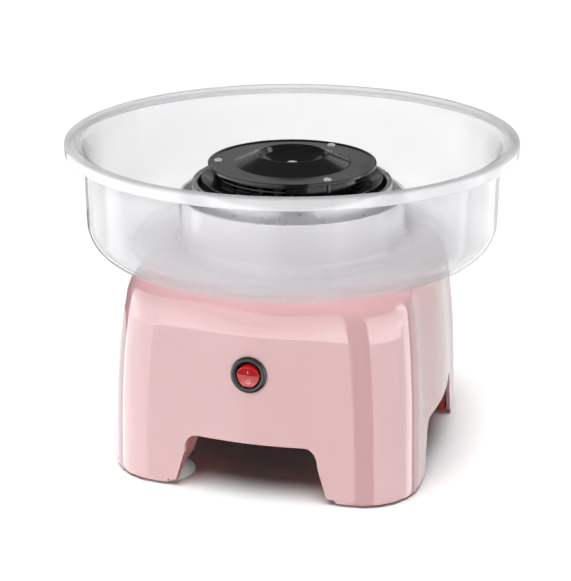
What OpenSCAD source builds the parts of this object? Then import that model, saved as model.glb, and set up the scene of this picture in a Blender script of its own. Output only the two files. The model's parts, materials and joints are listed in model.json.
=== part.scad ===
// Cotton candy machine: a square moulded housing on four hollow legs, a round catching bowl,
// and a motor-driven spinning head with a heater inside it.
// The origin is on the table under the head's axis, +Z is up and the switch faces -Y.

/* [Housing] */
// Half width of the housing at the foot, measured at the ends of a side
base_half = 101.2; // [99:0.1:104]
// Lean of the walls towards the axis, per mm of height
wall_lean = 0.0307; // [0.02:0.0001:0.04]
// Extra inward curve of the walls above the curve's start, per mm squared
wall_curve = 0.0007; // [0.0003:0.0001:0.0008]
// Height at which the walls start to curve inwards
curve_start = 40; // [35:1:50]
// Outward crown in the middle of each wall
wall_crown = 4.2; // [2:0.1:5]
// Radius of the vertical corners
corner_r = 38; // [34:1:40]
// Height of the soft edge between the walls and the shoulder
crease_z = 107; // [104:1:110]
// Radius of the round platform that the bowl stands on
platform_r = 85; // [83:0.5:87]
// Height of that platform
platform_z = 136.8; // [136:0.1:137]
// Thickness of the moulded walls
wall = 2.5; // [2:0.1:2.6]

/* [Legs] */
// Half width of the gap between two legs at the foot
gap_half = 49; // [47:0.5:51]
// Height of the ceiling of that gap
gap_top = 37.5; // [36:0.5:37.5]
// Radius of the round inner corner of a leg
leg_corner_r = 28; // [24:1:30]
// Height of the underside of a leg above the table
leg_z = 2.2; // [2:0.1:2.4]
// Radius of a suction cup
cup_r = 17.5; // [15:0.5:17.5]
// Distance of a cup from the middle, sideways
cup_x = 62; // [61:0.5:63]
// Distance of a cup from the middle, front to back
cup_y = 80; // [78:0.5:80.5]

/* [Bowl] */
// Outer radius of the bowl's rim
rim_r = 145; // [143:0.5:150]
// Height of the top of the rim
rim_z = 208.8; // [206:0.1:215]
// Outer radius of the bowl's side
bowl_r = 133; // [132:0.5:134]
// Outer radius of the rounding between the side and the floor
bowl_fillet = 18.5; // [14:0.5:22]
// Outer radius of the collar in the middle of the bowl
collar_r = 73.7; // [73.4:0.1:76]
// Height of the top of the collar
collar_z = 170.4; // [165:0.1:172]
// Thickness of the bowl
bowl_t = 2; // [1.8:0.1:2.2]

/* [Head] */
// Outer radius of the head's lower dish
dish_r = 58.7; // [58:0.1:60]
// Height of the dish's rim
dish_z = 181; // [180.5:0.1:181.5]
// Outer radius of the slotted ring
ring_r = 50; // [49.5:0.1:50.5]
// Outer radius of the head's cover
cover_r = 54.5; // [54:0.1:56]
// Radius of the funnel's mouth
funnel_r = 22.3; // [20:0.1:24]
// Height of the funnel's mouth
funnel_z = 195.9; // [195:0.1:197]
// Outer radius of the metal guard round the head
guard_r = 65; // [64:0.1:66]
// Height of the guard's rolled edge
guard_z = 178.7; // [177:0.1:179.5]

/* [Drive] */
// Radius of the motor's steel can
motor_r = 27; // [25:0.5:27]
// Radius of the drive shaft
shaft_r = 4; // [3.5:0.1:4]
// Clearance between the shaft and its bushes, on the radius
shaft_play = 0.04; // [0.02:0.01:0.08]

/* [Switch] */
// Radius of the switch's round bezel
bezel_r = 11.5; // [11:0.1:12.5]
// Height of the middle of the switch
switch_z = 83; // [78:0.5:86]
// Angle between the rocker's two positions
rocker_throw = 22; // [16:1:22]

/* [Hidden] */
$fn = 96;

housing_pink = [0.88, 0.71, 0.71];
cover_pink = [0.72, 0.45, 0.43];
clear_white = [0.93, 0.93, 0.95, 0.6];
head_black = [0.09, 0.09, 0.09];
steel = [0.72, 0.73, 0.75];
brass = [0.8, 0.65, 0.3];

// Housing outline
platform_plate = 2.5;
drum_r = 70.9;
drum_z = 142;
shaft_hole_r = 16;
part_line = 0.2;
shell_foot_z = leg_z + 2.1 + part_line;
side_steps = 8;
corner_steps = 6;
shoulder_rise = platform_z - crease_z;

function wall_half(z) = base_half - wall_lean * z - wall_curve * pow(max(0, z - curve_start), 2);
function crown(t) = wall_crown * (1 + cos(180 * t)) / 2;

// One side and its corner, with the side facing +X; half is to the corner's start.
function side_points(half, inset) = concat(
    [for (i = [0 : side_steps - 1])
        let (t = 2 * i / side_steps - 1)
        [half + crown(t) - inset, t * (half - corner_r)]],
    [for (i = [0 : corner_steps - 1])
        let (a = 90 * i / corner_steps)
        [half - corner_r + (corner_r - inset) * cos(a), half - corner_r + (corner_r - inset) * sin(a)]]
);

function turn(p, a) = [p[0] * cos(a) - p[1] * sin(a), p[0] * sin(a) + p[1] * cos(a)];

function outline(half, inset) = [
    for (k = [0 : 3])
    for (p = side_points(half, inset))
    turn(p, 90 * k)
];

// Falls from 1 in the middle of a side to 0 at its corners
function mid_side(p, half) = (1 + cos(180 * min(1, min(abs(p[0]), abs(p[1])) / (half - corner_r)))) / 2;

// The shoulder draws in slowly above the crease, then quickly into the flat platform.
// It starts to draw in sooner in the middle of a side.
function shoulder_share(u, middle) =
    let (first = 0.22 + 0.16 * sqrt(middle))
    first * u + (1 - first) * pow(u, 5 - 3 * sqrt(middle));

// The outline, drawn in towards a circle as u goes from 0 to 1.
function blended(half, inset, radius, u) = [
    for (p = outline(half, inset))
    let (share = shoulder_share(u, mid_side(p, half)))
    p * (1 - share) + p / norm(p) * radius * share
];

function raised(points, z) = [for (p = points) [p[0], p[1], z]];

wall_levels = [22, 40, 58, 75, 92, crease_z];
shoulder_levels = [0.22, 0.44, 0.6, 0.73, 0.84, 0.93, 1];

function shell_rings(foot, inset, top_r, rise) = concat(
    [raised(outline(wall_half(max(foot, 0)), inset), foot)],
    [for (z = wall_levels) raised(outline(wall_half(z), inset), z)],
    [for (u = shoulder_levels)
        raised(blended(wall_half(crease_z), inset, top_r, u), crease_z + rise * u)]
);

function ring_faces(count, rings) = [
    for (k = [0 : rings - 1])
    for (i = [0 : count - 1])
    let (j = (i + 1) % count, n = (k + 1) % rings)
    [k * count + i, n * count + i, n * count + j, k * count + j]
];

function reversed(list) = [for (i = [len(list) - 1 : -1 : 0]) list[i]];

function flat_list(lists) = [for (l = lists) for (v = l) v];

// Gap between the legs: leaning sides with round upper corners
gap_top_half = 35;
gap_lean_half = 43.3;
gap_lean_z = 25;
gap_fillet_steps = 6;

function gap_outline(grow) = let (
    foot = gap_half + (gap_half - gap_lean_half) * 6 / 20,
    r = gap_lean_half - gap_top_half + grow,
    rise = gap_top + grow - gap_lean_z,
    right = concat(
        [[foot + grow, -1]],
        [for (i = [0 : gap_fillet_steps])
            let (a = 90 * i / gap_fillet_steps)
            [gap_top_half + r * cos(a), gap_lean_z + rise * sin(a)]]
    )
) concat(right, [for (p = reversed(right)) [-p[0], p[1]]]);

module gap_tunnel(grow, reach) {
    rotate([90, 0, 0])
        translate([0, 0, -reach])
            linear_extrude(2 * reach)
                polygon(gap_outline(grow));
}

// The cross-shaped hollow under the housing, whose inner corners are round.
cross_steps = 5;
cross_rise = 31;
cross_reach = 110;

function cross_corner(grow) = let (
    w = gap_half + 1.7 + grow,
    r = leg_corner_r - grow,
    c = gap_half + 1.7 + leg_corner_r
) concat(
    [[cross_reach, w]],
    [for (i = [0 : cross_steps])
        let (a = -90 - 90 * i / cross_steps)
        [c + r * cos(a), c + r * sin(a)]],
    [[w, cross_reach]]
);

module cross_hollow(grow) {
    translate([0, 0, -1])
        linear_extrude(cross_rise + grow, scale = 0.83)
            polygon([for (k = [0 : 3]) for (p = cross_corner(grow)) turn(p, 90 * k)]);
}

module leg_hollow(grow) {
    gap_tunnel(grow, 130);
    rotate(90) gap_tunnel(grow, 130);
    cross_hollow(grow);
}

// Places children at the four legs, mirrored so that each leg is alike
module at_legs() {
    for (sx = [-1, 1])
        for (sy = [-1, 1])
            mirrored_to(sx, sy) children();
}

module mirrored_to(sx, sy) {
    mirror([sx < 0 ? 1 : 0, 0, 0])
        mirror([0, sy < 0 ? 1 : 0, 0])
            children();
}

// Screw boss in a leg
boss_x = 85;
boss_y = 60;
boss_r = 4;
boss_top = 50;
screw_r = 1.5;

// Cup pocket in a leg
pocket_r = cup_r + 0.5;
pocket_z = 12;
pocket_t = 2;
cup_neck_r = 3.5;

// Rear cord gland
gland_z = 62;
gland_r = 6;
cord_bore_r = 3.6;
gland_y = wall_half(gland_z) + wall_crown;
gland_tilt = atan(wall_lean + 2 * wall_curve * (gland_z - curve_start));

// Switch frame: the wall leans, so the switch does too
switch_tilt = atan(wall_lean + 2 * wall_curve * (switch_z - curve_start));
switch_y = wall_half(switch_z) + wall_crown;
switch_barrel_r = 10;
switch_hole_r = switch_barrel_r + 0.2;

// Turns a part drawn with its mouth towards +Z into the gland's place, square to the leaning wall
module in_gland() {
    translate([0, gland_y, gland_z])
        rotate([gland_tilt - 90, 0, 0])
            children();
}

// Turns a part drawn with its face towards +Z into the switch's place, its +Y end upwards
module in_switch() {
    translate([0, -switch_y, switch_z])
        rotate([90 - switch_tilt, 0, 0])
            children();
}

// ---- Housing and its covers ----

module housing() {
    outer = shell_rings(shell_foot_z, 0, platform_r, shoulder_rise);
    inner = shell_rings(shell_foot_z, wall, platform_r - wall, shoulder_rise - platform_plate);
    lip_r = drum_r - 3;
    ring_out = [for (p = outer[0]) [p[0] / norm([p[0], p[1]]) * lip_r, p[1] / norm([p[0], p[1]]) * lip_r]];
    rings = concat(
        outer,
        [raised(ring_out, platform_z), raised(ring_out, platform_z - platform_plate)],
        reversed(inner)
    );
    color(housing_pink)
    difference() {
        union() {
            polyhedron(flat_list(rings), ring_faces(len(outer[0]), len(rings)), convexity = 8);
            rotate_extrude()
                polygon([
                    [lip_r - 1, platform_z - platform_plate - 0.4],
                    [drum_r, platform_z - platform_plate - 0.4],
                    [drum_r, drum_z - 0.8],
                    [drum_r - 0.8, drum_z],
                    [shaft_hole_r, drum_z],
                    [shaft_hole_r, drum_z - 6],
                    [shaft_hole_r + wall, drum_z - 6],
                    [shaft_hole_r + wall, drum_z - wall],
                    [lip_r - 1, drum_z - wall]
                ]);
            at_legs() leg_boss();
            for (a = [45 : 90 : 315])
                rotate(a)
                    translate([pan_screw_r, 0, drum_z - 9])
                        cylinder(h = 8, r = 3.5);
        }
        at_legs()
            translate([boss_x, boss_y, shell_foot_z - 1])
                cylinder(h = 20, r = screw_r);
        for (a = [45 : 90 : 315])
            rotate(a)
                translate([pan_screw_r, 0, drum_z - 10])
                    cylinder(h = 11, r = screw_r);
        gap_tunnel(0, 130);
        rotate(90) gap_tunnel(0, 130);
        in_switch()
            translate([0, 0, -12])
                cylinder(h = 20, r = switch_hole_r);
        in_gland()
            translate([0, 0, -10])
                cylinder(h = 20, r = gland_r + 0.2);
    }
}

module leg_boss() {
    translate([boss_x, boss_y, shell_foot_z - part_line])
        cylinder(h = boss_top - shell_foot_z + part_line, r = boss_r);
    translate([boss_x, boss_y - 1, shell_foot_z])
        cube([98.3 - boss_x, 2, boss_top - shell_foot_z]);
}

module bottom_cover() {
    inner_half = wall_half(gap_top + 3);
    plate_gap = 55;
    color(cover_pink)
    difference() {
        union() {
            // Walls and ceiling of the hollow between the legs
            difference() {
                intersection() {
                    leg_hollow(2.2);
                    translate([0, 0, leg_z])
                        linear_extrude(gap_top + 2.2 - leg_z)
                            polygon(outline(inner_half, wall + 0.3));
                }
                leg_hollow(0);
            }
            // Plates that close the legs
            difference() {
                translate([0, 0, leg_z])
                    linear_extrude(shell_foot_z - part_line - leg_z)
                        polygon(outline(wall_half(shell_foot_z), 0));
                leg_hollow(0);
                for (k = [0, 1])
                    rotate(180 * k)
                        translate([-plate_gap, cup_y + pocket_r - 4, -1])
                            cube([2 * plate_gap, 20, 10]);
            }
            // Round pockets for the cups, inside the legs
            difference() {
                intersection() {
                    at_legs()
                        translate([cup_x, cup_y, leg_z])
                            cylinder(h = pocket_z + pocket_t - leg_z, r = pocket_r + pocket_t);
                    translate([0, 0, leg_z])
                        linear_extrude(20)
                            polygon(outline(inner_half, wall + 0.3));
                }
                leg_hollow(0);
            }
            // Pegs for the board
            for (x = board_xs, y = [-12, 12])
                translate([x, y, gap_top + 1])
                    cylinder(h = board_z - gap_top - 1, r = 2.2);
        }
        at_legs() {
            translate([cup_x, cup_y, -1])
                cylinder(h = pocket_z + 1, r = pocket_r);
            translate([cup_x, cup_y, 0])
                cylinder(h = 20, r = cup_neck_r);
            translate([boss_x, boss_y, 0])
                cylinder(h = 10, r = screw_r + 0.1);
        }
        for (x = [-post_x, post_x], y = [-post_x, post_x])
            translate([x, y, gap_top - 1])
                cylinder(h = 6, r = screw_r + 0.2);
        for (x = [-20 : 5 : 20])
            translate([x - 1.2, -16, gap_top - 1])
                cube([2.4, 32, 6]);
    }
}

module cover_screws() {
    color(steel)
    at_legs()
        translate([boss_x, boss_y, 0.6]) {
            cylinder(h = leg_z - 0.6, r = 3);
            cylinder(h = 16, r = screw_r);
        }
}

module suction_cup(sx, sy) {
    color([0.82, 0.83, 0.84])
    translate([sx * cup_x, sy * cup_y, 0])
        rotate_extrude()
            polygon([
                [0, 3], [5, 2.6], [cup_r - 3, 0.6], [cup_r - 1.5, 0], [cup_r, 0], [cup_r, 1],
                [cup_r - 3.5, 2.4], [8, 5.2], [6, 7], [6, pocket_z], [cup_neck_r, pocket_z],
                [cup_neck_r, pocket_z + pocket_t], [4.6, pocket_z + pocket_t],
                [4.6, 16.5], [3, 18.5], [0, 18.5]
            ]);
}

module suction_cup_front_left() { suction_cup(-1, -1); }
module suction_cup_front_right() { suction_cup(1, -1); }
module suction_cup_rear_left() { suction_cup(-1, 1); }
module suction_cup_rear_right() { suction_cup(1, 1); }

module cord_gland() {
    color(head_black)
    in_gland()
        difference() {
            union() {
                translate([0, 0, -12]) cylinder(h = 13, r = gland_r);
                cylinder(h = 2.5, r = 8.5);
                translate([0, 0, 2.5]) cylinder(h = 5, r1 = 7, r2 = 5.6);
            }
            translate([0, 0, -13]) cylinder(h = 30, r = cord_bore_r);
        }
}

// The nut's corners meet the wall first, because the wall is bowed
nut_h = 4.6;
nut_gap = 0.5;

module gland_nut() {
    color(head_black)
    in_gland()
        translate([0, 0, -wall - nut_gap - nut_h])
            difference() {
                cylinder(h = nut_h, r = 9.2, $fn = 6);
                translate([0, 0, -1]) cylinder(h = 8, r = gland_r);
            }
}

// ---- Bowl and guard ----

bowl_z = platform_z + 0.3;
collar_foot_r = 6.3;
rim_flat = 6;
rim_drop = 7;

function arc(cx, cy, r, from, to, steps) = [
    for (i = [0 : steps])
    let (a = from + (to - from) * i / steps)
    [cx + r * cos(a), cy + r * sin(a)]
];

module bowl() {
    floor_z = bowl_z + bowl_t;
    centre_r = bowl_r - bowl_fillet;
    centre_z = bowl_z + bowl_fillet;
    inner_wall = bowl_r - bowl_t;
    mouth_r = rim_r - rim_flat;
    color(clear_white)
    rotate_extrude($fn = 180)
        polygon(concat(
            [[collar_r - bowl_t, bowl_z], [centre_r, bowl_z]],
            arc(centre_r, centre_z, bowl_fillet, -90, 0, 8),
            [[bowl_r + 0.2, rim_z - 7.8]],
            arc(bowl_r + 3.7, rim_z - 5.5, 3.5, 180, 90, 5),
            [[rim_r - bowl_t, rim_z - bowl_t], [rim_r - bowl_t, rim_z - rim_drop]],
            [[rim_r, rim_z - rim_drop], [rim_r, rim_z - 1], [rim_r - 1, rim_z], [mouth_r, rim_z]],
            [[mouth_r - 3, rim_z - 0.9], [mouth_r - 5.2, rim_z - 2.6], [inner_wall + 1.6, rim_z - 4.2]],
            [[inner_wall + 0.6, rim_z - 6.6], [inner_wall, rim_z - 10]],
            arc(centre_r, centre_z, bowl_fillet - bowl_t, 0, -90, 8),
            arc(collar_r + collar_foot_r, floor_z + collar_foot_r, collar_foot_r, -90, -180, 5),
            [[collar_r, collar_z - 0.8], [collar_r - 1, collar_z]],
            [[collar_r - bowl_t, collar_z - 0.8]]
        ));
}

pan_t = 1.2;
pan_screw_r = 48;

module guard_pan() {
    bead = 2;
    color(steel)
    difference() {
        union() {
            rotate_extrude()
                polygon([
                    [shaft_hole_r + 4, drum_z], [guard_r - 3, drum_z], [guard_r - 0.9, drum_z + 0.9],
                    [guard_r, drum_z + 3], [guard_r, guard_z - bead],
                    [guard_r - pan_t, guard_z - bead], [guard_r - pan_t, drum_z + 3.2],
                    [guard_r - 3.2, drum_z + pan_t], [shaft_hole_r + 4, drum_z + pan_t]
                ]);
            rotate_extrude()
                translate([guard_r - bead, guard_z - bead])
                    circle(r = bead, $fn = 24);
        }
        for (a = [45 : 90 : 315])
            rotate(a)
                translate([pan_screw_r, 0, drum_z - 1])
                    cylinder(h = 4, r = screw_r + 0.1);
    }
}

module pan_screws() {
    color(steel)
    for (a = [45 : 90 : 315])
        rotate(a)
            translate([pan_screw_r, 0, 0]) {
                translate([0, 0, drum_z + pan_t]) cylinder(h = 1.8, r = 3);
                translate([0, 0, drum_z - 8]) cylinder(h = 8 + pan_t, r = screw_r);
            }
}

// ---- Motor and its mounting ----

plate_z = 98;
plate_t = 2;
plate_half = 40;
post_x = 33;
post_r = 4;
motor_foot = 48;
bush_r = 6;

module motor_plate() {
    color(steel)
    difference() {
        translate([-plate_half, -plate_half, plate_z]) cube([2 * plate_half, 2 * plate_half, plate_t]);
        translate([0, 0, plate_z - 1]) cylinder(h = 4, r = 8.2);
        for (x = [-post_x, post_x], y = [-post_x, post_x])
            translate([x, y, plate_z - 1]) cylinder(h = 4, r = screw_r + 0.1);
        for (x = [-17, 17])
            translate([x, 0, plate_z - 1]) cylinder(h = 4, r = screw_r + 0.1);
    }
}

module plate_posts() {
    foot = gap_top + 2.2;
    color(steel)
    for (x = [-post_x, post_x], y = [-post_x, post_x])
        translate([x, y, foot])
            difference() {
                cylinder(h = plate_z - foot, r = post_r);
                translate([0, 0, -1]) cylinder(h = plate_z, r = screw_r);
            }
}

module plate_screws() {
    color(steel)
    for (x = [-post_x, post_x], y = [-post_x, post_x])
        translate([x, y, 0]) {
            translate([0, 0, plate_z + plate_t]) cylinder(h = 2, r = 3);
            translate([0, 0, plate_z - 10]) cylinder(h = 10 + plate_t, r = screw_r);
        }
}

module post_screws() {
    color(steel)
    for (x = [-post_x, post_x], y = [-post_x, post_x])
        translate([x, y, gap_top - 2]) {
            cylinder(h = 2, r = 3);
            cylinder(h = 14, r = screw_r);
        }
}

module motor_screws() {
    color(steel)
    for (x = [-17, 17])
        translate([x, 0, 0]) {
            translate([0, 0, plate_z + plate_t]) cylinder(h = 2, r = 3);
            translate([0, 0, plate_z - 4]) cylinder(h = 4 + plate_t, r = screw_r);
        }
}

module motor_can() {
    color(steel)
    difference() {
        union() {
            translate([0, 0, motor_foot]) cylinder(h = plate_z - motor_foot, r = motor_r);
            translate([0, 0, plate_z - 1]) cylinder(h = 5, r = 8);
        }
        translate([0, 0, motor_foot - 1]) cylinder(h = plate_z - motor_foot - 1, r = motor_r - 1.5);
        translate([0, 0, 90]) cylinder(h = 20, r = bush_r);
        for (x = [-17, 17])
            translate([x, 0, 90]) cylinder(h = 20, r = screw_r);
    }
}

module motor_magnets() {
    color([0.2, 0.2, 0.22])
    for (a = [0, 180])
        rotate(a)
            translate([0, 0, 54])
                rotate([0, 0, -65])
                    rotate_extrude(angle = 130)
                        translate([20.6, 0]) square([motor_r - 1.55 - 20.6, 36]);
}

module motor_end_cap() {
    color([0.15, 0.15, 0.16])
    difference() {
        union() {
            translate([0, 0, motor_foot - 4]) cylinder(h = 4, r = motor_r);
            translate([0, 0, motor_foot]) cylinder(h = 2, r = motor_r - 1.55);
        }
        translate([0, 0, motor_foot - 5]) cylinder(h = 10, r = bush_r);
    }
}

module motor_brushes() {
    color([0.12, 0.12, 0.12])
    for (a = [0, 180])
        rotate(a)
            translate([commutator_r + 0.3, -2.5, motor_foot + 2])
                cube([7, 5, 4]);
}

module plain_bush(z, h) {
    color(brass)
    translate([0, 0, z])
        difference() {
            cylinder(h = h, r = bush_r);
            translate([0, 0, -1]) cylinder(h = h + 2, r = shaft_r + shaft_play);
        }
}

module upper_bush() { plain_bush(plate_z - 2, 6); }
module lower_bush() { plain_bush(motor_foot - 4, 5.5); }

// ---- Rotating parts ----

shaft_foot = 43;
shaft_top = 190.2;
thread_r = 2;
commutator_r = 7;
core_r = 19.8;

module drive_shaft() {
    color(steel) {
        translate([0, 0, shaft_foot]) cylinder(h = spoke_z - shaft_foot, r = shaft_r);
        translate([0, 0, spoke_z - 1]) cylinder(h = shaft_top - spoke_z + 1, r = thread_r);
    }
}

slot_count = 10;

module rotor_core() {
    color([0.5, 0.5, 0.52])
    translate([0, 0, 58])
        difference() {
            cylinder(h = 28, r = core_r);
            translate([0, 0, -1]) cylinder(h = 30, r = shaft_r);
            for (k = [0 : slot_count - 1])
                rotate(360 / slot_count * k) {
                    translate([14, 0, -1]) cylinder(h = 30, r = 2.6);
                    translate([14, -0.8, -1]) cube([10, 1.6, 30]);
                }
        }
}

module rotor_windings() {
    color([0.72, 0.38, 0.18]) {
        for (k = [0 : slot_count - 1])
            rotate(360 / slot_count * k)
                translate([14, 0, 57]) cylinder(h = 30, r = 2.5, $fn = 24);
        for (z = [54.5, 86])
            translate([0, 0, z])
                rotate_extrude()
                    polygon([[9.5, 0], [17, 0], [18.5, 1.5], [17.5, 3.5], [10.5, 3.5], [8.5, 1.5]]);
    }
}

module commutator() {
    color(brass)
    translate([0, 0, motor_foot + 2.3])
        difference() {
            cylinder(h = 5.5, r = commutator_r);
            translate([0, 0, -1]) cylinder(h = 8, r = shaft_r);
            for (k = [0 : slot_count - 1])
                rotate(360 / slot_count * k)
                    translate([commutator_r - 1, -0.2, -1]) cube([2, 0.4, 8]);
        }
}

sleeve_z = 104.5;
sleeve_h = 24;
sleeve_r = 7.5;
slip_r = 9.5;
slip_h = 5;
slip_lower_z = 108;
slip_upper_z = 118;
lead_x = 6.1;

module slip_ring_sleeve() {
    color([0.55, 0.3, 0.15])
    difference() {
        union() {
            translate([0, 0, sleeve_z]) cylinder(h = sleeve_h, r = sleeve_r);
            translate([0, 0, sleeve_z]) cylinder(h = slip_lower_z - sleeve_z, r = 11);
            translate([0, 0, slip_lower_z + slip_h])
                cylinder(h = slip_upper_z - slip_lower_z - slip_h, r = 11);
            translate([0, 0, slip_upper_z + slip_h])
                cylinder(h = sleeve_z + sleeve_h - slip_upper_z - slip_h, r = 11);
        }
        translate([0, 0, sleeve_z - 1]) cylinder(h = sleeve_h + 2, r = shaft_r);
    }
}

module slip_ring(z) {
    color(brass)
    translate([0, 0, z])
        difference() {
            cylinder(h = slip_h, r = slip_r);
            translate([0, 0, -1]) cylinder(h = slip_h + 2, r = sleeve_r);
        }
}

module slip_ring_upper() { slip_ring(slip_upper_z); }
module slip_ring_lower() { slip_ring(slip_lower_z); }

brush_y = 2.2;
brush_gap = 0.3;
spring_t = 0.6;
brush_back = 18;

module brush_block() {
    color([0.35, 0.2, 0.12])
    difference() {
        translate([20, -12, plate_z + plate_t]) cube([10, 24, 27]);
        for (z = [slip_lower_z, slip_upper_z])
            translate([19, -brush_y - 0.2, z])
                cube([12, 2 * brush_y + 0.4, slip_h]);
    }
}

module brush_springs() {
    color(brass)
    for (z = [slip_lower_z, slip_upper_z]) {
        translate([brush_back, -brush_y, z + 0.6]) cube([spring_t, 2 * brush_y, slip_h - 1.2]);
        translate([brush_back, -brush_y, z + 0.6]) cube([14, spring_t, slip_h - 1.2]);
    }
}

module carbon_brushes() {
    color([0.12, 0.12, 0.12])
    for (z = [slip_lower_z, slip_upper_z])
        translate([slip_r + brush_gap, -brush_y, z + 0.4])
            cube([brush_back - slip_r - brush_gap, 2 * brush_y, slip_h - 0.8]);
}

// ---- Head ----

dish_floor = 160;
dish_t = 1.5;
dish_flat_r = 38;
ring_t = 1.5;
ring_top = 188.4;
cover_t = 1.6;
spoke_z = 187.6;
throat_r = 11;
screw_ring_r = 48;
screw_angles = [72, 192, 312];
window_half = 34;
louvre_h = 1.9;
louvre_pitch = 3.1;
louvre_count = 4;
dish_slope = (dish_z - dish_floor - dish_t) / (dish_r - dish_t - dish_flat_r);
ring_foot = dish_floor + dish_t + (ring_r - dish_flat_r) * dish_slope + 0.06;

module head_hub() {
    color(steel)
    difference() {
        union() {
            translate([0, 0, 148]) cylinder(h = dish_floor - 148, r = 9);
            translate([0, 0, dish_floor - 2]) cylinder(h = 2, r = 18);
        }
        translate([0, 0, 140]) cylinder(h = 30, r = shaft_r);
        for (x = [-lead_x, lead_x])
            translate([x, 0, 140]) cylinder(h = 30, r = 1.1);
    }
}

module head_leads() {
    run_z = dish_floor + dish_t + 2.5;
    lead_r = 1;
    color([0.85, 0.85, 0.8])
    for (s = [-1, 1]) {
        translate([s * lead_x, 0, sleeve_z + sleeve_h]) cylinder(h = run_z - sleeve_z - sleeve_h, r = lead_r);
        translate([s * lead_x, 0, run_z]) sphere(r = lead_r, $fn = 24);
        translate([s * lead_x, 0, run_z]) rotate([0, s * 90, 0]) cylinder(h = heater_r - lead_x, r = lead_r);
        translate([s * heater_r, 0, run_z]) sphere(r = lead_r, $fn = 24);
        translate([s * heater_r, 0, run_z])
            cylinder(h = heater_zs[0] - heater_wire_r - run_z + 0.02, r = lead_r);
    }
}

module head_dish() {
    color(head_black)
    difference() {
        rotate_extrude($fn = 180)
            polygon([
                [shaft_r, dish_floor], [dish_flat_r + 0.6, dish_floor],
                [dish_r - 0.3, dish_z - 1.6], [dish_r, dish_z - 0.9], [dish_r - 0.2, dish_z - 0.2],
                [dish_r - 0.8, dish_z], [dish_r - dish_t, dish_z - 0.1],
                [dish_flat_r, dish_floor + dish_t], [shaft_r, dish_floor + dish_t]
            ]);
        for (x = [-lead_x, lead_x])
            translate([x, 0, dish_floor - 1]) cylinder(h = 5, r = 1.1);
    }
}

module slotted_ring() {
    louvre_z = 175.2;
    color(head_black)
    difference() {
        union() {
            translate([0, 0, ring_foot]) cylinder(h = ring_top - ring_foot, r = ring_r);
            for (a = screw_angles)
                rotate(a)
                    translate([screw_ring_r, 0, 175.2]) cylinder(h = ring_top - 175.2, r = 3);
        }
        difference() {
            translate([0, 0, ring_foot - 1]) cylinder(h = 30, r = ring_r - ring_t);
            for (a = screw_angles)
                rotate(a)
                    translate([screw_ring_r, 0, 160]) cylinder(h = 40, r = 3);
        }
        for (a = screw_angles)
            rotate(a)
                translate([screw_ring_r, 0, 170]) cylinder(h = 30, r = screw_r);
        for (a = screw_angles, k = [0 : louvre_count - 1])
            rotate(a + 60 - window_half)
                translate([0, 0, louvre_z + k * louvre_pitch])
                    rotate_extrude(angle = 2 * window_half)
                        translate([ring_r - 3, 0]) square([6, louvre_h]);
    }
}

heater_r = 39;
heater_wire_r = 1.6;
heater_zs = [177, 184];

module heater_supports() {
    color([0.93, 0.92, 0.88])
    for (k = [0 : 5])
        rotate(60 * k + 30)
            translate([30, -2, dish_floor + dish_t])
                cube([heater_r - heater_wire_r - 30 - 0.02, 4, 25]);
}

module heater_element() {
    color([0.45, 0.42, 0.4])
    for (z = heater_zs)
        translate([0, 0, z])
            rotate_extrude()
                translate([heater_r, 0]) circle(r = heater_wire_r, $fn = 24);
    color([0.45, 0.42, 0.4])
    rotate(60)
        translate([heater_r, 0, heater_zs[0]])
            cylinder(h = heater_zs[1] - heater_zs[0], r = 1.2);
}

module head_cover() {
    top = ring_top + cover_t;
    hill_r = 37.5;
    color(head_black)
    difference() {
        union() {
            rotate_extrude($fn = 180)
                polygon([
                    [throat_r + 1.6, spoke_z - 2.6], [throat_r + 1.8, spoke_z - 2.6],
                    [funnel_r + 0.2, funnel_z - 2.6], [hill_r - 1.2, ring_top], [cover_r - 0.6, ring_top],
                    [cover_r, ring_top + 0.6], [cover_r, top + 0.3], [cover_r - 0.4, top + 0.7],
                    [cover_r - 1.3, top + 0.7], [cover_r - 1.8, top], [hill_r + 1, top],
                    [hill_r - 1, top + 0.4], [funnel_r + 2.6, funnel_z - 0.7], [funnel_r + 0.8, funnel_z],
                    [funnel_r, funnel_z - 0.1], [funnel_r - 0.9, funnel_z - 0.9],
                    [funnel_r - 2.4, funnel_z - 3.4], [throat_r + 6.5, spoke_z + 2.7],
                    [throat_r + 3, spoke_z + 0.7], [throat_r, spoke_z - 0.4], [throat_r, spoke_z - 2.6]
                ]);
            for (a = screw_angles)
                rotate(a - 30)
                    translate([thread_r + 1.5, -1.5, spoke_z - 1.6])
                        cube([throat_r - thread_r, 3, 1.6]);
            translate([0, 0, spoke_z - 1.6]) cylinder(h = 1.6, r = 5.5);
        }
        translate([0, 0, spoke_z - 4]) cylinder(h = 10, r = shaft_r);
        for (a = screw_angles)
            rotate(a)
                translate([screw_ring_r, 0, 180]) cylinder(h = 20, r = screw_r + 0.1);
    }
}

module cover_fixings() {
    color(steel)
    for (a = screw_angles)
        rotate(a)
            translate([screw_ring_r, 0, 0]) {
                translate([0, 0, 177]) cylinder(h = ring_top + cover_t - 177, r = screw_r);
                translate([0, 0, ring_top + cover_t])
                    difference() {
                        cylinder(h = 1.5, r = 2.6);
                        for (b = [0, 90])
                            rotate(b) translate([-1.8, -0.35, 0.8]) cube([3.6, 0.7, 1]);
                    }
            }
}

module head_nut() {
    color(steel)
    translate([0, 0, spoke_z])
        difference() {
            union() {
                cylinder(h = 0.6, r = 4.8);
                cylinder(h = 2.4, r = 3.4, $fn = 6);
            }
            translate([0, 0, -1]) cylinder(h = 6, r = thread_r);
        }
}

// ---- Switch ----

rocker_r = 7.1;
well_r = 8;
pivot_depth = 1.2;
pin_r = 1.2;

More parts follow.
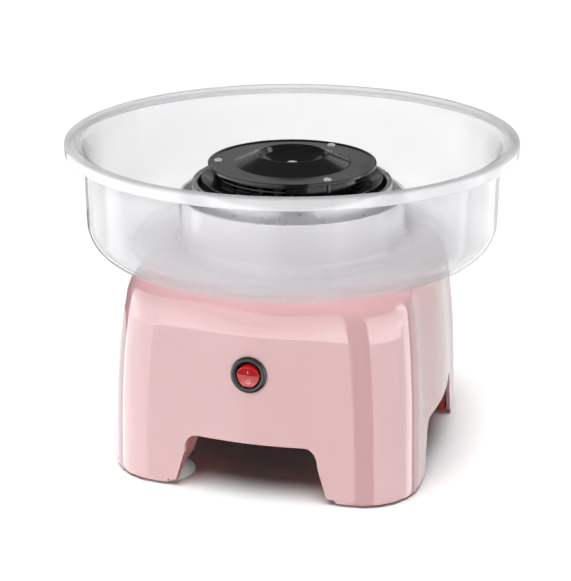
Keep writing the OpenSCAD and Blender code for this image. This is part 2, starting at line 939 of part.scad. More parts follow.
module switch_body() {
    color(head_black)
    in_switch()
        difference() {
            union() {
                rotate_extrude()
                    polygon([
                        [0, 0], [bezel_r, 0], [bezel_r, 0.8], [bezel_r - 0.7, 1.7],
                        [bezel_r - 1.8, 2.1], [well_r + 0.6, 2.1], [well_r, 1.6], [0, 1.6]
                    ]);
                translate([0, 0, -20]) cylinder(h = 20.5, r = switch_barrel_r);
            }
            translate([0, 0, -9]) cylinder(h = 20, r = well_r);
            translate([-switch_barrel_r - 1, 0, -pivot_depth])
                rotate([0, 90, 0])
                    cylinder(h = 2 * switch_barrel_r + 2, r = pin_r + 0.05);
            for (y = [-6, 0, 6])
                translate([-2.4, y - 0.4, -21]) cube([4.8, 0.8, 6]);
        }
}

module switch_terminals() {
    color(brass)
    in_switch()
        for (y = [-6, 0, 6])
            translate([-2.4, y - 0.4, -29]) cube([4.8, 0.8, 14]);
}

module switch_rocker() {
    crest = 3;
    tip = 4.6;
    tip_y = 6.6;
    steps = 6;
    dished = [for (k = [steps : -1 : -steps]) [tip_y * k / steps, crest + (tip - crest) * pow(k / steps, 2)]];
    color([0.85, 0.08, 0.05])
    in_switch()
        translate([0, 0, -pivot_depth])
            rotate([rocker_throw / 2, 0, 0]) {
                intersection() {
                    translate([0, 0, -3]) cylinder(h = 12, r = rocker_r);
                    rotate([90, 0, 90])
                        translate([0, 0, -rocker_r])
                            linear_extrude(2 * rocker_r)
                                polygon(concat(
                                    [[-8, -1], [-5, -2.4], [5, -2.4], [8, -1], [8, tip - 3]],
                                    dished,
                                    [[-8, tip - 3]]
                                ));
                }
                translate([-9.6, 0, 0]) rotate([0, 90, 0]) cylinder(h = 19.2, r = pin_r);
            }
}

// ---- Wiring ----

board_z = 44;
board_xs = [-84, -60];

module terminal_block() {
    color([0.9, 0.9, 0.86])
    translate([-14, 60, gap_top + 2.2])
        difference() {
            cube([28, 16, 12]);
            for (x = [5, 14, 23])
                translate([x, 8, 4]) cylinder(h = 10, r = 2);
        }
}

module rectifier_board() {
    color([0.1, 0.4, 0.2])
    translate([-90, -17, board_z]) cube([36, 34, 1.6]);
    color([0.1, 0.1, 0.1])
    translate([-86, -8, board_z + 1.5]) cube([16, 16, 5]);
    color([0.15, 0.2, 0.5])
    translate([-62, 0, board_z + 1.5]) cylinder(h = 14, r = 5);
}

module thermal_fuse() {
    color([0.9, 0.9, 0.9])
    translate([-26, 20, plate_z + plate_t + 2.6])
        rotate([0, 90, 0])
            cylinder(h = 16, r = 2.6);
}

wire_r = 1.1;
wire_sides = 8;
wire_steps = 6;

// Point on a smooth curve through hand-placed points, for position t between p1 and p2
function spline(p0, p1, p2, p3, t) = (
    p1 * 2 + (p2 - p0) * t + (p0 * 2 - p1 * 5 + p2 * 4 - p3) * t * t
    + (p1 * 3 - p0 - p2 * 3 + p3) * t * t * t
) / 2;

function route_points(route) = concat(
    [for (i = [0 : len(route) - 2])
        for (s = [0 : wire_steps - 1])
        spline(
            route[max(i - 1, 0)], route[i], route[i + 1], route[min(i + 2, len(route) - 1)],
            s / wire_steps
        )],
    [route[len(route) - 1]]
);

function unit(v) = v / norm(v);

module wire(route) {
    points = route_points(route);
    last = len(points) - 1;
    rings = [
        for (i = [0 : last])
        let (
            d = unit(points[min(i + 1, last)] - points[max(i - 1, 0)]),
            up = abs(d[2]) > 0.9 ? [1, 0, 0] : [0, 0, 1],
            a = unit(cross(d, up)),
            b = cross(d, a)
        )
        [for (k = [0 : wire_sides - 1])
            points[i] + wire_r * (a * cos(360 * k / wire_sides) + b * sin(360 * k / wire_sides))]
    ];
    sides = [
        for (i = [0 : last - 1])
        for (k = [0 : wire_sides - 1])
        let (n = (k + 1) % wire_sides)
        [i * wire_sides + k, i * wire_sides + n, (i + 1) * wire_sides + n, (i + 1) * wire_sides + k]
    ];
    caps = [
        [for (k = [wire_sides - 1 : -1 : 0]) k],
        [for (k = [0 : wire_sides - 1]) last * wire_sides + k]
    ];
    polyhedron(flat_list(rings), concat(sides, caps), convexity = 6);
}

WIRES = [
    // Terminal block to the middle of the switch
    [
        [-12, 58.4, 46], [-24, 54, 48], [-44, 38, 56], [-50, 0, 66],
        [-46, -30, 74], [-30, -50, 82], [-8, -64, 84], [0, -71.4, 80.4]
    ],
    // Lower terminal of the switch to the board
    [[0, -71.4, 74.4], [-12, -62, 68], [-44, -48, 56], [-62, -28, 50], [-66, -12, 46.9]],
    // Board to the motor
    [[-57, 8, 46.9], [-48, 12, 48.4], [-40, 13, 48], [-32, 10, 46], [-27.9, 8, 46]],
    // Terminal block to the slip ring brushes
    [[12, 58.4, 46], [22, 52, 52], [44, 34, 70], [47, 16, 96], [42, 3, 109], [33.4, -1.9, 110.5]]
];

module wiring() {
    color([0.9, 0.2, 0.2])
    for (route = WIRES)
        wire(route);
}

// ---- Assembly ----

housing();
bottom_cover();
cover_screws();
suction_cup_front_left();
suction_cup_front_right();
suction_cup_rear_left();
suction_cup_rear_right();
cord_gland();
gland_nut();
bowl();
guard_pan();
pan_screws();
motor_plate();
plate_posts();
plate_screws();
post_screws();
motor_screws();
motor_can();
motor_magnets();
motor_end_cap();
motor_brushes();
upper_bush();
lower_bush();
drive_shaft();
rotor_core();
rotor_windings();
commutator();
slip_ring_sleeve();
slip_ring_upper();
slip_ring_lower();
brush_block();
brush_springs();
carbon_brushes();
head_hub();
head_leads();
head_dish();
slotted_ring();
heater_supports();
heater_element();
head_cover();
cover_fixings();
head_nut();
switch_body();
switch_terminals();
switch_rocker();
terminal_block();
rectifier_board();
thermal_fuse();
wiring();
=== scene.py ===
"""Cotton candy machine: the looks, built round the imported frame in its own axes, in metres.

The front faces -Y, and the head spins about the upright line through the origin.
"""
import json
import math

import bmesh
import bpy
from mathutils import Matrix, Vector


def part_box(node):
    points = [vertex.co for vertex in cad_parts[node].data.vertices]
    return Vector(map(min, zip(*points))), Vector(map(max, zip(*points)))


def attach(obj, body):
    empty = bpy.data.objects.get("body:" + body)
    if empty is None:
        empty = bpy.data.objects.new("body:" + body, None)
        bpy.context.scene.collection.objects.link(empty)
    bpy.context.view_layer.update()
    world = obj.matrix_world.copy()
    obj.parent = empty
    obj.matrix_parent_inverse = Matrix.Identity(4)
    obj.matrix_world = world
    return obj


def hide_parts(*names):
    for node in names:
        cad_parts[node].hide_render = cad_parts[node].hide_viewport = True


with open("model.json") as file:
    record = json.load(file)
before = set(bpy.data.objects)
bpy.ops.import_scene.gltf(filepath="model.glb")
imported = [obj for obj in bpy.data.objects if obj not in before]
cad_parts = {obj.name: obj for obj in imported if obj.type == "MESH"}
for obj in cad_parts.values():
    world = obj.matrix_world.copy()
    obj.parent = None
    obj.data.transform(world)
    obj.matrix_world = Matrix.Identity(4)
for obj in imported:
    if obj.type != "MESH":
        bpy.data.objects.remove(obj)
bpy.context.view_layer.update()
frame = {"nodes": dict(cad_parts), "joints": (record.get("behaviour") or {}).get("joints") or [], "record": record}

MM = 0.001
RECORD = frame["record"]
NODES = frame["nodes"]
SLOT_OF = {s["node"]: s["material_slot"] for s in RECORD["subparts"]}

# ---- sizes, in millimetres

# Housing walls: the same rules as the CAD housing
BASE_HALF = 101.2
WALL_LEAN = 0.0307  # inwards, for each millimetre of height
WALL_CURVE = 0.0007  # more lean, by the square of the height above CURVE_START
CURVE_START = 40
WALL_CROWN = 4.2  # how far the middle of a wall bulges past its ends
CORNER_R = 38
SHELL_THICKNESS = 2.5
EDGE_R = 0.55
FOOT_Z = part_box("housing")[0].z / MM

# Shoulder, from the crease in to the round platform: part of the way in is even with the height, and
# the rest follows a power of it. Both differ between a corner and a wall's middle.
CREASE_Z = 107
CREASE_BAND = 0.5
CORNER_EVEN_SHARE = 0.22
MIDDLE_EVEN_EXTRA = 0.16
CORNER_POWER = 5
MIDDLE_POWER_DROP = 3

# Platform under the bowl, and the drum on it that holds the guard pan
PLATFORM_R = 85
PLATFORM_Z = 136.8
PLATFORM_INNER_R = 80
DRUM_R = 70.9
DRUM_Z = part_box("housing")[1].z / MM
SHAFT_HOLE_R = 16
SHAFT_HOLE_DEPTH = 6

# Gap between two legs
GAP_TOP = 37.5
GAP_TOP_HALF = 35
GAP_LEAN_HALF = 43.3
GAP_LEAN_Z = 25
GAP_FOOT_HALF = 49
GAP_FOOT_Z = 5

# Holes in the walls. The mesh grid bends round a hole as far as its reach.
SWITCH_Z = 83
SWITCH_HOLE_R = 10.2
SWITCH_REACH = 17.5
GLAND_Z = 62
GLAND_HOLE_R = 6.2
GLAND_REACH = 11.5

# Screw bosses inside the housing
BOSS_XY = (85, 60)
BOSS_TOP = 50
BOSS_R = 4
BOSS_BORE_R = 1.5
RIB_START, RIB_END = 88.9, 97.6
RIB_HALF = 1
PAN_SCREW_R = 48
PAN_BOSS_R = 3.5
PAN_BOSS_FOOT, PAN_BOSS_TOP = 9, 2.6  # below the drum's top

# Head
SCREW_ANGLES = (72, 192, 312)
SCREW_RING_R = 48
COVER_TOP = 190
RING_R = 50
RING_WALL = 1.5
WINDOW_HALF = 34
WINDOW_STEPS = 32
POST_STEPS = 24
LOUVRE_Z = 175.2
LOUVRE_H = 1.9
LOUVRE_PITCH = 3.1
LOUVRES = 4

# ---- mesh helpers


def new_object(name, data):
    obj = bpy.data.objects.new(name, data)
    bpy.context.scene.collection.objects.link(obj)
    return obj


def add_object(name, mesh, body, slot):
    """A piece of the machine that moves with a body and wears its slot's finish."""
    obj = new_object(name, mesh)
    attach(obj, body)
    obj.data.materials.append(material(slot))
    return obj


def mesh_of(bm, name):
    """A mesh made from a working mesh, which is used up."""
    mesh = bpy.data.meshes.new(name)
    bm.to_mesh(mesh)
    bm.free()
    return mesh


def mesh_from(name, verts, faces):
    """A mesh from points in millimetres, with its faces turned outwards and shaded smooth."""
    mesh = bpy.data.meshes.new(name)
    mesh.from_pydata([Vector(v) * MM for v in verts], [], faces)
    bm = bmesh.new()
    bm.from_mesh(mesh)
    bmesh.ops.remove_doubles(bm, verts=bm.verts, dist=1e-7)
    bmesh.ops.recalc_face_normals(bm, faces=bm.faces)
    for face in bm.faces:
        face.smooth = True
    bm.to_mesh(mesh)
    bm.free()
    return mesh


def rounded(outline, steps, closed=True):
    """Points along an outline of (x, y, radius) corners, each rounded to its radius."""
    count = len(outline)
    points = []
    for i, (x, y, radius) in enumerate(outline):
        corner = Vector((x, y))
        if radius <= 0 or (not closed and i in (0, count - 1)):
            points.append(corner)
            continue
        before = Vector(outline[i - 1][:2]) - corner
        after = Vector(outline[(i + 1) % count][:2]) - corner
        reach = 0.49 * min(before.length, after.length)  # so that two corners never meet
        before.normalize()
        after.normalize()
        half = before.angle(after) / 2
        back = min(radius / math.tan(half), reach)
        centre = corner + (before + after).normalized() * back / math.cos(half)
        first = corner + before * back - centre
        last = corner + after * back - centre
        turn = math.atan2(first.x * last.y - first.y * last.x, first.dot(last))
        for k in range(steps + 1):
            points.append(centre + Matrix.Rotation(turn * k / steps, 2) @ first)
    return points


def lathe_mesh(name, outline, steps, corner_steps, centre=(0, 0)):
    """Turns a closed outline of (radius, height, corner radius) about a vertical axis."""
    points = rounded(outline, corner_steps)
    verts = []
    for k in range(steps):
        angle = 2 * math.pi * k / steps
        across, up = math.cos(angle), math.sin(angle)
        verts += [(centre[0] + p[0] * across, centre[1] + p[0] * up, p[1]) for p in points]
    count = len(points)
    faces = []
    for k in range(steps):
        here, there = k * count, ((k + 1) % steps) * count
        for i in range(count):
            j = (i + 1) % count
            faces.append((here + i, there + i, there + j, here + j))
    return mesh_from(name, verts, faces)


def tube_mesh(x, y, foot, top, outer, inner):
    """An upright tube with softened ends."""
    outline = [(inner, foot, 0.2), (outer, foot, 0.3), (outer, top, 0.3), (inner, top, 0.2)]
    return lathe_mesh("tube", outline, 40, 2, (x, y))


def box_mesh(lo, hi, degrees=0):
    """A box between two corners in millimetres, turned about the vertical axis."""
    bm = bmesh.new()
    bmesh.ops.create_cube(bm, size=1)
    size = Vector(hi) - Vector(lo)
    middle = (Vector(hi) + Vector(lo)) / 2
    place = Matrix.Scale(MM, 4) @ Matrix.Rotation(math.radians(degrees), 4, "Z")
    place = place @ Matrix.Translation(middle) @ Matrix.Diagonal((*size, 1))
    bm.transform(place)
    return mesh_of(bm, "box")


def joined(name, meshes):
    """One mesh out of several, which are used up."""
    bm = bmesh.new()
    for mesh in meshes:
        bm.from_mesh(mesh)
        bpy.data.meshes.remove(mesh)
    return mesh_of(bm, name)


def even_normals(obj):
    """Keeps broad faces looking flat beside their rounded edges."""
    mod = obj.modifiers.new("even_normals", "WEIGHTED_NORMAL")
    mod.weight = 60
    mod.keep_sharp = True


def bevel(obj, width, segments, angle):
    """Rounds edges sharper than the angle, to a width in millimetres."""
    mod = obj.modifiers.new("round_edges", "BEVEL")
    mod.width = width * MM
    mod.segments = segments
    mod.limit_method = "ANGLE"
    mod.angle_limit = math.radians(angle)


def thicken(obj, thickness):
    """Gives a sheet a thickness in millimetres, inwards from the side that shows."""
    mod = obj.modifiers.new("thickness", "SOLIDIFY")
    mod.thickness = thickness * MM
    mod.offset = -1
    return mod


def cut_away(obj, cutters):
    """Cuts other objects out of obj for good, and removes them."""
    for tool in cutters:
        mod = obj.modifiers.new("cut", "BOOLEAN")
        mod.operation = "DIFFERENCE"
        mod.object = tool
        mod.solver = "EXACT"
    view = bpy.context.evaluated_depsgraph_get()
    fresh = bpy.data.meshes.new_from_object(obj.evaluated_get(view))
    obj.modifiers.clear()
    obj.data = fresh
    for tool in cutters:
        mesh = tool.data
        bpy.data.objects.remove(tool)
        bpy.data.meshes.remove(mesh)


def lathe(name, outline, body, slot, steps, corner_steps, node):
    """A turned piece that stands in for one CAD node."""
    obj = add_object(name, lathe_mesh(name, outline, steps, corner_steps), body, slot)
    even_normals(obj)
    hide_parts(node)


# ---- material helpers


def add_node(tree, kind, inputs=None, **settings):
    """A new shader node. Each of its inputs takes a plain value or another node's output."""
    made = tree.nodes.new(kind)
    for key, value in settings.items():
        setattr(made, key, value)
    for key, value in (inputs or {}).items():
        if isinstance(value, bpy.types.NodeSocket):
            tree.links.new(value, made.inputs[key])
        else:
            made.inputs[key].default_value = value
    return made


class Paint:
    """A Principled material and the few procedural details that most finishes share."""

    def __init__(self, name, colour, roughness, metallic=0.0, **inputs):
        self.mat = bpy.data.materials.new(name)
        self.mat.use_nodes = True
        self.tree = self.mat.node_tree
        self.bsdf = self.tree.nodes["Principled BSDF"]
        self.colour = colour
        self.bsdf.inputs["Base Color"].default_value = (*colour, 1)
        for key, value in {"Roughness": roughness, "Metallic": metallic, **inputs}.items():
            self.bsdf.inputs[key.replace("_", " ")].default_value = value
        self.place = add_node(self.tree, "ShaderNodeTexCoord").outputs["Object"]
        self.relief = None

    def noise(self, scale, detail, stretch=(1, 1, 1)):
        mapping = add_node(self.tree, "ShaderNodeMapping", {"Scale": stretch, "Vector": self.place})
        inputs = {"Scale": scale, "Detail": detail, "Vector": mapping.outputs["Vector"]}
        return add_node(self.tree, "ShaderNodeTexNoise", inputs).outputs["Fac"]

    def spread(self, value, low, high, start=0.35, end=0.65):
        """Maps start to end of a value onto low to high."""
        inputs = {"Value": value, "From Min": start, "From Max": end, "To Min": low, "To Max": high}
        return add_node(self.tree, "ShaderNodeMapRange", inputs).outputs["Result"]

    def vary_colour(self, share, other):
        inputs = {"Factor": share, "A": (*self.colour, 1), "B": (*other, 1)}
        mixed = add_node(self.tree, "ShaderNodeMix", inputs, data_type="RGBA")
        self.tree.links.new(mixed.outputs["Result"], self.bsdf.inputs["Base Color"])

    def vary_roughness(self, value, low, high):
        self.tree.links.new(self.spread(value, low, high), self.bsdf.inputs["Roughness"])

    def bump(self, height, distance):
        """Adds relief from a height value, its distance in millimetres."""
        inputs = {"Distance": distance * MM, "Height": height}
        if self.relief is not None:
            inputs["Normal"] = self.relief
        self.relief = add_node(self.tree, "ShaderNodeBump", inputs).outputs["Normal"]
        self.tree.links.new(self.relief, self.bsdf.inputs["Normal"])


def moulded(name, colour, roughness, shade, grain, relief, **inputs):
    """Injection-moulded plastic: faint flow marks in the colour, uneven gloss and a very fine skin."""
    paint = Paint(name, colour, roughness, **inputs)
    flow_marks = paint.noise(scale=14, detail=2, stretch=(1, 1, 0.5))
    darker = tuple(c * shade for c in colour)
    paint.vary_colour(paint.spread(flow_marks, 0, 1, start=0.3, end=0.7), darker)
    paint.vary_roughness(paint.noise(scale=55, detail=4), roughness * 0.85, roughness * 1.25)
    paint.bump(paint.noise(scale=grain, detail=2), relief)
    return paint.mat


def turned_metal(name, colour, roughness, rings, shade, across):
    """Spun or turned metal: fine lines round the axis, smudges and small scratches."""
    paint = Paint(name, colour, roughness, metallic=1.0)
    lines = paint.noise(scale=rings, detail=2, stretch=across)
    darker = tuple(c * shade for c in colour)
    paint.vary_colour(paint.spread(paint.noise(scale=60, detail=5), 0, 0.7), darker)
    paint.vary_roughness(paint.noise(scale=130, detail=6), roughness * 0.75, roughness * 1.4)
    paint.bump(lines, 0.006)
    paint.bump(paint.noise(scale=300, detail=8), 0.001)
    return paint.mat


def speckled(name, colour, other, roughness, scale, relief, metallic=0.0):
    """Cast, sintered or pressed stuff: a grain of two colours with its own relief."""
    paint = Paint(name, colour, roughness, metallic)
    grain = paint.noise(scale, detail=6)
    paint.vary_colour(paint.spread(grain, 0, 1, start=0.42, end=0.62), other)
    paint.vary_roughness(paint.noise(scale / 3, detail=3), roughness * 0.8, min(1, roughness * 1.2))
    paint.bump(grain, relief)
    return paint.mat


def woven(name, colour, other):
    """Braided glass-fibre sleeve."""
    paint = Paint(name, colour, roughness=0.8)
    inputs = {"Scale": 260, "Vector": paint.place}
    bands = {"wave_type": "BANDS", "bands_direction": "DIAGONAL"}
    braid = add_node(paint.tree, "ShaderNodeTexWave", inputs, **bands).outputs["Fac"]
    paint.vary_colour(braid, other)
    paint.bump(braid, 0.08)
    return paint.mat


def bowl_film(name):
    """Translucent moulded plastic: a thin milky body that things show through, under a clear gloss.

    It is milkiest over the floor and collar, clearest in the wall, and a little milky on the flange.
    """
    floor_end, wall_start = 88 * MM, 114 * MM
    wall_end, flange_start = 134.5 * MM, 137 * MM
    floor_milk, wall_milk, flange_milk = 0.72, 0.14, 0.26

    mat = bpy.data.materials.new(name)
    mat.use_nodes = True
    tree = mat.node_tree
    tree.nodes.clear()
    place = add_node(tree, "ShaderNodeTexCoord").outputs["Object"]

    # How much of the surface is milky, from the distance to the axis
    flat = add_node(tree, "ShaderNodeVectorMath", {0: place, 1: (1, 1, 0)}, operation="MULTIPLY")
    distance = {0: flat.outputs["Vector"]}
    radius = add_node(tree, "ShaderNodeVectorMath", distance, operation="LENGTH").outputs["Value"]
    floor_to_wall = {
        "Value": radius, "From Min": floor_end, "From Max": wall_start,
        "To Min": floor_milk, "To Max": wall_milk,
    }
    inner_milk = add_node(
        tree, "ShaderNodeMapRange", floor_to_wall, interpolation_type="SMOOTHSTEP"
    ).outputs["Result"]
    wall_to_flange = {
        "Value": radius, "From Min": wall_end, "From Max": flange_start,
        "To Min": 0, "To Max": flange_milk,
    }
    outer_milk = add_node(tree, "ShaderNodeMapRange", wall_to_flange).outputs["Result"]
    milkiness = add_node(tree, "ShaderNodeMath", {0: inner_milk, 1: outer_milk}, operation="ADD")

    # A surface seen edge-on lets nothing through
    facing = add_node(tree, "ShaderNodeLayerWeight", {"Blend": 0.5})
    glancing = add_node(tree, "ShaderNodeMath", {0: facing.outputs["Facing"], 1: 5}, operation="POWER")
    closing = {"Factor": glancing.outputs["Value"], "A": milkiness.outputs["Value"], "B": 1}
    opacity = add_node(tree, "ShaderNodeMix", closing)

    flow = add_node(tree, "ShaderNodeTexNoise", {"Scale": 9, "Vector": place})
    whites = {"Factor": flow.outputs["Fac"], "A": (0.96, 0.96, 0.97, 1), "B": (0.93, 0.935, 0.95, 1)}
    white = add_node(tree, "ShaderNodeMix", whites, data_type="RGBA")
    tints = {"Factor": inner_milk, "A": white.outputs["Result"], "B": (0.84, 0.81, 0.85, 1)}
    tint = add_node(tree, "ShaderNodeMix", tints, data_type="RGBA")
    skin = add_node(tree, "ShaderNodeTexNoise", {"Scale": 45, "Detail": 3, "Vector": place})
    relief = add_node(tree, "ShaderNodeBump", {"Distance": 0.0006 * MM, "Height": skin.outputs["Fac"]})
    milk = add_node(tree, "ShaderNodeBsdfPrincipled", {
        "Base Color": tint.outputs["Result"], "Normal": relief.outputs["Normal"], "Roughness": 0.14,
        "Coat Weight": 1.0, "Coat Roughness": 0.03,
    })
    clear = add_node(tree, "ShaderNodeBsdfTransparent", {"Color": (0.93, 0.93, 0.935, 1)})
    shaders = {"Fac": opacity.outputs["Result"], 1: clear.outputs["BSDF"], 2: milk.outputs["BSDF"]}
    mixed = add_node(tree, "ShaderNodeMixShader", shaders)
    add_node(tree, "ShaderNodeOutputMaterial", {"Surface": mixed.outputs["Shader"]})
    return mat


FINISHES = {
    "housing_plastic": (moulded, dict(
        colour=(0.645, 0.385, 0.396), roughness=0.08, shade=0.97, grain=420, relief=0.0015,
        Coat_Weight=0.8, Coat_Roughness=0.02,
    )),
    # Painted shade: a dark red that stands for the cover's pink in the shade of the gaps.
    "cover_plastic": (moulded, dict(
        colour=(0.6, 0.09, 0.06), roughness=0.36, shade=0.9, grain=1400, relief=0.01,
    )),
    # Painted shade: near black, for the cover's plate over the gaps and its inner faces, where only shade falls.
    "cover_painted_shade": (moulded, dict(
        colour=(0.02, 0.018, 0.018), roughness=0.5, shade=0.8, grain=900, relief=0.02,
    )),
    "bowl_plastic": (bowl_film, {}),
    "guard_metal": (turned_metal, dict(
        colour=(0.66, 0.66, 0.67), roughness=0.34, rings=1800, shade=0.93, across=(0.2, 0.2, 3),
    )),
    "head_black": (moulded, dict(
        colour=(0.007, 0.007, 0.0075), roughness=0.17, shade=0.7, grain=700, relief=0.008, Coat_Weight=0.2,
    )),
    "switch_black": (moulded, dict(
        colour=(0.02, 0.024, 0.022), roughness=0.3, shade=0.7, grain=1500, relief=0.006,
    )),
    "rocker_red": (moulded, dict(
        colour=(0.5, 0.009, 0.016), roughness=0.16, shade=0.8, grain=700, relief=0.003, Coat_Weight=0.5,
    )),
    "mark_white": (moulded, dict(
        colour=(0.8, 0.5, 0.5), roughness=0.4, shade=0.9, grain=1500, relief=0.003,
    )),
    "gland_plastic": (moulded, dict(
        colour=(0.02, 0.02, 0.021), roughness=0.45, shade=0.75, grain=1600, relief=0.014,
    )),
    "cup_rubber": (moulded, dict(
        colour=(0.66, 0.67, 0.67), roughness=0.38, shade=0.88, grain=900, relief=0.008,
        Transmission_Weight=0.25, Subsurface_Weight=0.15,
    )),
    "bright_steel": (speckled, dict(
        colour=(0.86, 0.86, 0.87), other=(0.74, 0.74, 0.76), roughness=0.25, scale=500, relief=0.002,
        metallic=0.5,
    )),
    "zinc_steel": (speckled, dict(
        colour=(0.55, 0.56, 0.6), other=(0.4, 0.42, 0.45), roughness=0.38, scale=160, relief=0.006,
        metallic=1.0,
    )),
    "hub_aluminium": (turned_metal, dict(
        colour=(0.75, 0.75, 0.77), roughness=0.3, rings=3000, shade=0.85, across=(1, 1, 3),
    )),
    "ferrite": (speckled, dict(
        colour=(0.05, 0.05, 0.055), other=(0.09, 0.09, 0.1), roughness=0.75, scale=1400, relief=0.02,
    )),
    "carbon": (speckled, dict(
        colour=(0.018, 0.018, 0.019), other=(0.05, 0.05, 0.052), roughness=0.55, scale=2200, relief=0.015,
    )),
    "bronze": (speckled, dict(
        colour=(0.5, 0.3, 0.13), other=(0.36, 0.2, 0.09), roughness=0.4, scale=1500, relief=0.008,
        metallic=1.0,
    )),
    "brass": (turned_metal, dict(
        colour=(0.78, 0.57, 0.24), roughness=0.22, rings=3600, shade=0.75, across=(1, 1, 4),
    )),
    "copper": (turned_metal, dict(
        colour=(0.66, 0.24, 0.1), roughness=0.28, rings=2200, shade=0.7, across=(1, 1, 6),
    )),
    "core_steel": (turned_metal, dict(
        colour=(0.36, 0.36, 0.38), roughness=0.42, rings=2000, shade=0.6, across=(0.1, 0.1, 5),
    )),
    "bakelite": (speckled, dict(
        colour=(0.12, 0.045, 0.022), other=(0.2, 0.08, 0.035), roughness=0.42, scale=500, relief=0.01,
    )),
    "lead_sleeve": (woven, dict(colour=(0.78, 0.76, 0.68), other=(0.56, 0.54, 0.47))),
    "ceramic": (speckled, dict(
        colour=(0.84, 0.82, 0.76), other=(0.72, 0.7, 0.63), roughness=0.6, scale=900, relief=0.02,
    )),
    "heater_metal": (speckled, dict(
        colour=(0.3, 0.24, 0.21), other=(0.16, 0.13, 0.14), roughness=0.48, scale=420, relief=0.015,
        metallic=1.0,
    )),
    "nylon": (moulded, dict(
        colour=(0.8, 0.78, 0.68), roughness=0.42, shade=0.92, grain=1200, relief=0.008,
    )),
    "circuit_board": (speckled, dict(
        colour=(0.03, 0.16, 0.07), other=(0.05, 0.24, 0.11), roughness=0.35, scale=260, relief=0.01,
    )),
    "wire_insulation": (moulded, dict(
        colour=(0.5, 0.02, 0.018), roughness=0.4, shade=0.85, grain=1200, relief=0.006,
    )),
}
made_materials = {}


def material(name):
    """The material of a finish, made once."""
    if name not in made_materials:
        maker, settings = FINISHES[name]
        made_materials[name] = maker(name, **settings)
    return made_materials[name]


# ---- housing


def wall_half(z):
    """Half the housing's width at a wall's ends."""
    return BASE_HALF - WALL_LEAN * z - WALL_CURVE * max(0, z - CURVE_START) ** 2


def wall_tilt(z):
    """How far a wall leans in at a height above CURVE_START, in radians."""
    return math.atan(WALL_LEAN + 2 * WALL_CURVE * (z - CURVE_START))


def crown(t):
    """The bulge of a wall, t from 0 at its middle to 1 at its ends."""
    return WALL_CROWN * (1 + math.cos(math.pi * t)) / 2


def on_side(along, outwards, side):
    """A point on side number `side`, counted from the front towards +X."""
    angle = math.radians(90 * side - 90)
    across, up = math.cos(angle), math.sin(angle)
    return Vector((outwards * across - along * up, outwards * up + along * across))


def side_point(side, u, z):
    half = wall_half(z)
    return on_side(u, half + crown(u / (half - CORNER_R)), side)


def corner_point(side, degrees, z):
    angle = math.radians(degrees)
    middle = wall_half(z) - CORNER_R
    return on_side(middle + CORNER_R * math.sin(angle), middle + CORNER_R * math.cos(angle), side)


def gap_edge(u):
    """Height of the shell's lower edge, u along a side."""
    u = abs(u)
    if u <= GAP_TOP_HALF:
        return GAP_TOP
    if u < GAP_LEAN_HALF:
        share = (u - GAP_TOP_HALF) / (GAP_LEAN_HALF - GAP_TOP_HALF)
        return GAP_LEAN_Z + (GAP_TOP - GAP_LEAN_Z) * math.sqrt(1 - share * share)
    drop = (u - GAP_LEAN_HALF) * (GAP_LEAN_Z - GAP_FOOT_Z) / (GAP_FOOT_HALF - GAP_LEAN_HALF)
    return max(FOOT_Z, GAP_LEAN_Z - drop)


def stations(stops, gaps):
    """Values between stops, each span cut into the given number of equal steps."""
    values = [stops[0]]
    for start, end, count in zip(stops, stops[1:], gaps):
        values += [start + (end - start) * (k + 1) / count for k in range(count)]
    return values


# Columns of the mesh along half a side, closest at the holes and at the bends of the gap's edge
HALF_RUN = wall_half(GAP_LEAN_Z) - CORNER_R
ALONG = stations(
    [0, GLAND_HOLE_R, SWITCH_HOLE_R, 18, 33, 35, 41, 42.6, GAP_LEAN_HALF, 44.2, 49.14, 51, HALF_RUN],
    [4, 3, 5, 8, 2, 7, 4, 4, 3, 6, 2, 8],
)
CORNER_STEPS = 26

# Rows of the mesh: the lowest follow the gap's edge, then heights, then shares of the shoulder's rise
LOW_ROWS = 16
LOW_TOP = 46
GLAND_EDGES = [GLAND_Z - GLAND_HOLE_R, GLAND_Z + GLAND_HOLE_R]
SWITCH_EDGES = [SWITCH_Z - SWITCH_HOLE_R, SWITCH_Z + SWITCH_HOLE_R]
WALL_ROWS = stations([LOW_TOP] + GLAND_EDGES + SWITCH_EDGES + [CREASE_Z], [6, 7, 3, 10, 8])[1:-1]
WALL_ROWS += [CREASE_Z - CREASE_BAND, CREASE_Z]
SHOULDER_ROWS = stations([0, 0.017, 0.5, 0.8, 1], [1, 9, 8, 8])[1:]

# The front's switch hole and the back's gland hole
HOLES = {0: (SWITCH_Z, SWITCH_HOLE_R, SWITCH_REACH), 2: (GLAND_Z, GLAND_HOLE_R, GLAND_REACH)}
HAIR = 1e-6  # keeps points that lie exactly on a hole's edge


def around_hole(u, z, centre_z, radius, reach):
    """Bends the square grid round a hole into circles, and less so towards its reach."""
    rise = z - centre_z
    square = max(abs(u), abs(rise))
    if square < radius - HAIR or square > reach:
        return u, z
    share = (square - radius) / (reach - radius)
    share = share * share * (3 - 2 * share)
    far = math.hypot(u, rise)
    scale = (square * (1 - share) + far * share) / far
    return u * scale, centre_z + rise * scale


def wall_column(side, t):
    """Points up a wall at share t of its half run, each with whether it lies in a hole."""
    foot = GAP_LEAN_Z
    for _ in range(8):  # the edge's height and the run's length there settle each other
        foot = gap_edge(t * (wall_half(foot) - CORNER_R))
    points = []
    for z in column_heights(foot):
        u = t * (wall_half(z) - CORNER_R)
        in_hole = False
        if side in HOLES:
            centre_z, radius, reach = HOLES[side]
            nominal = t * HALF_RUN
            square = max(abs(nominal), abs(z - centre_z))
            in_hole = square < radius - HAIR
            if not in_hole and square < reach:
                u, z = around_hole(nominal, z, centre_z, radius, reach)
        points.append((Vector((*side_point(side, u, z), z)), in_hole))
    return points + shoulder_column(points[-1][0], (1 + math.cos(math.pi * t)) / 2)


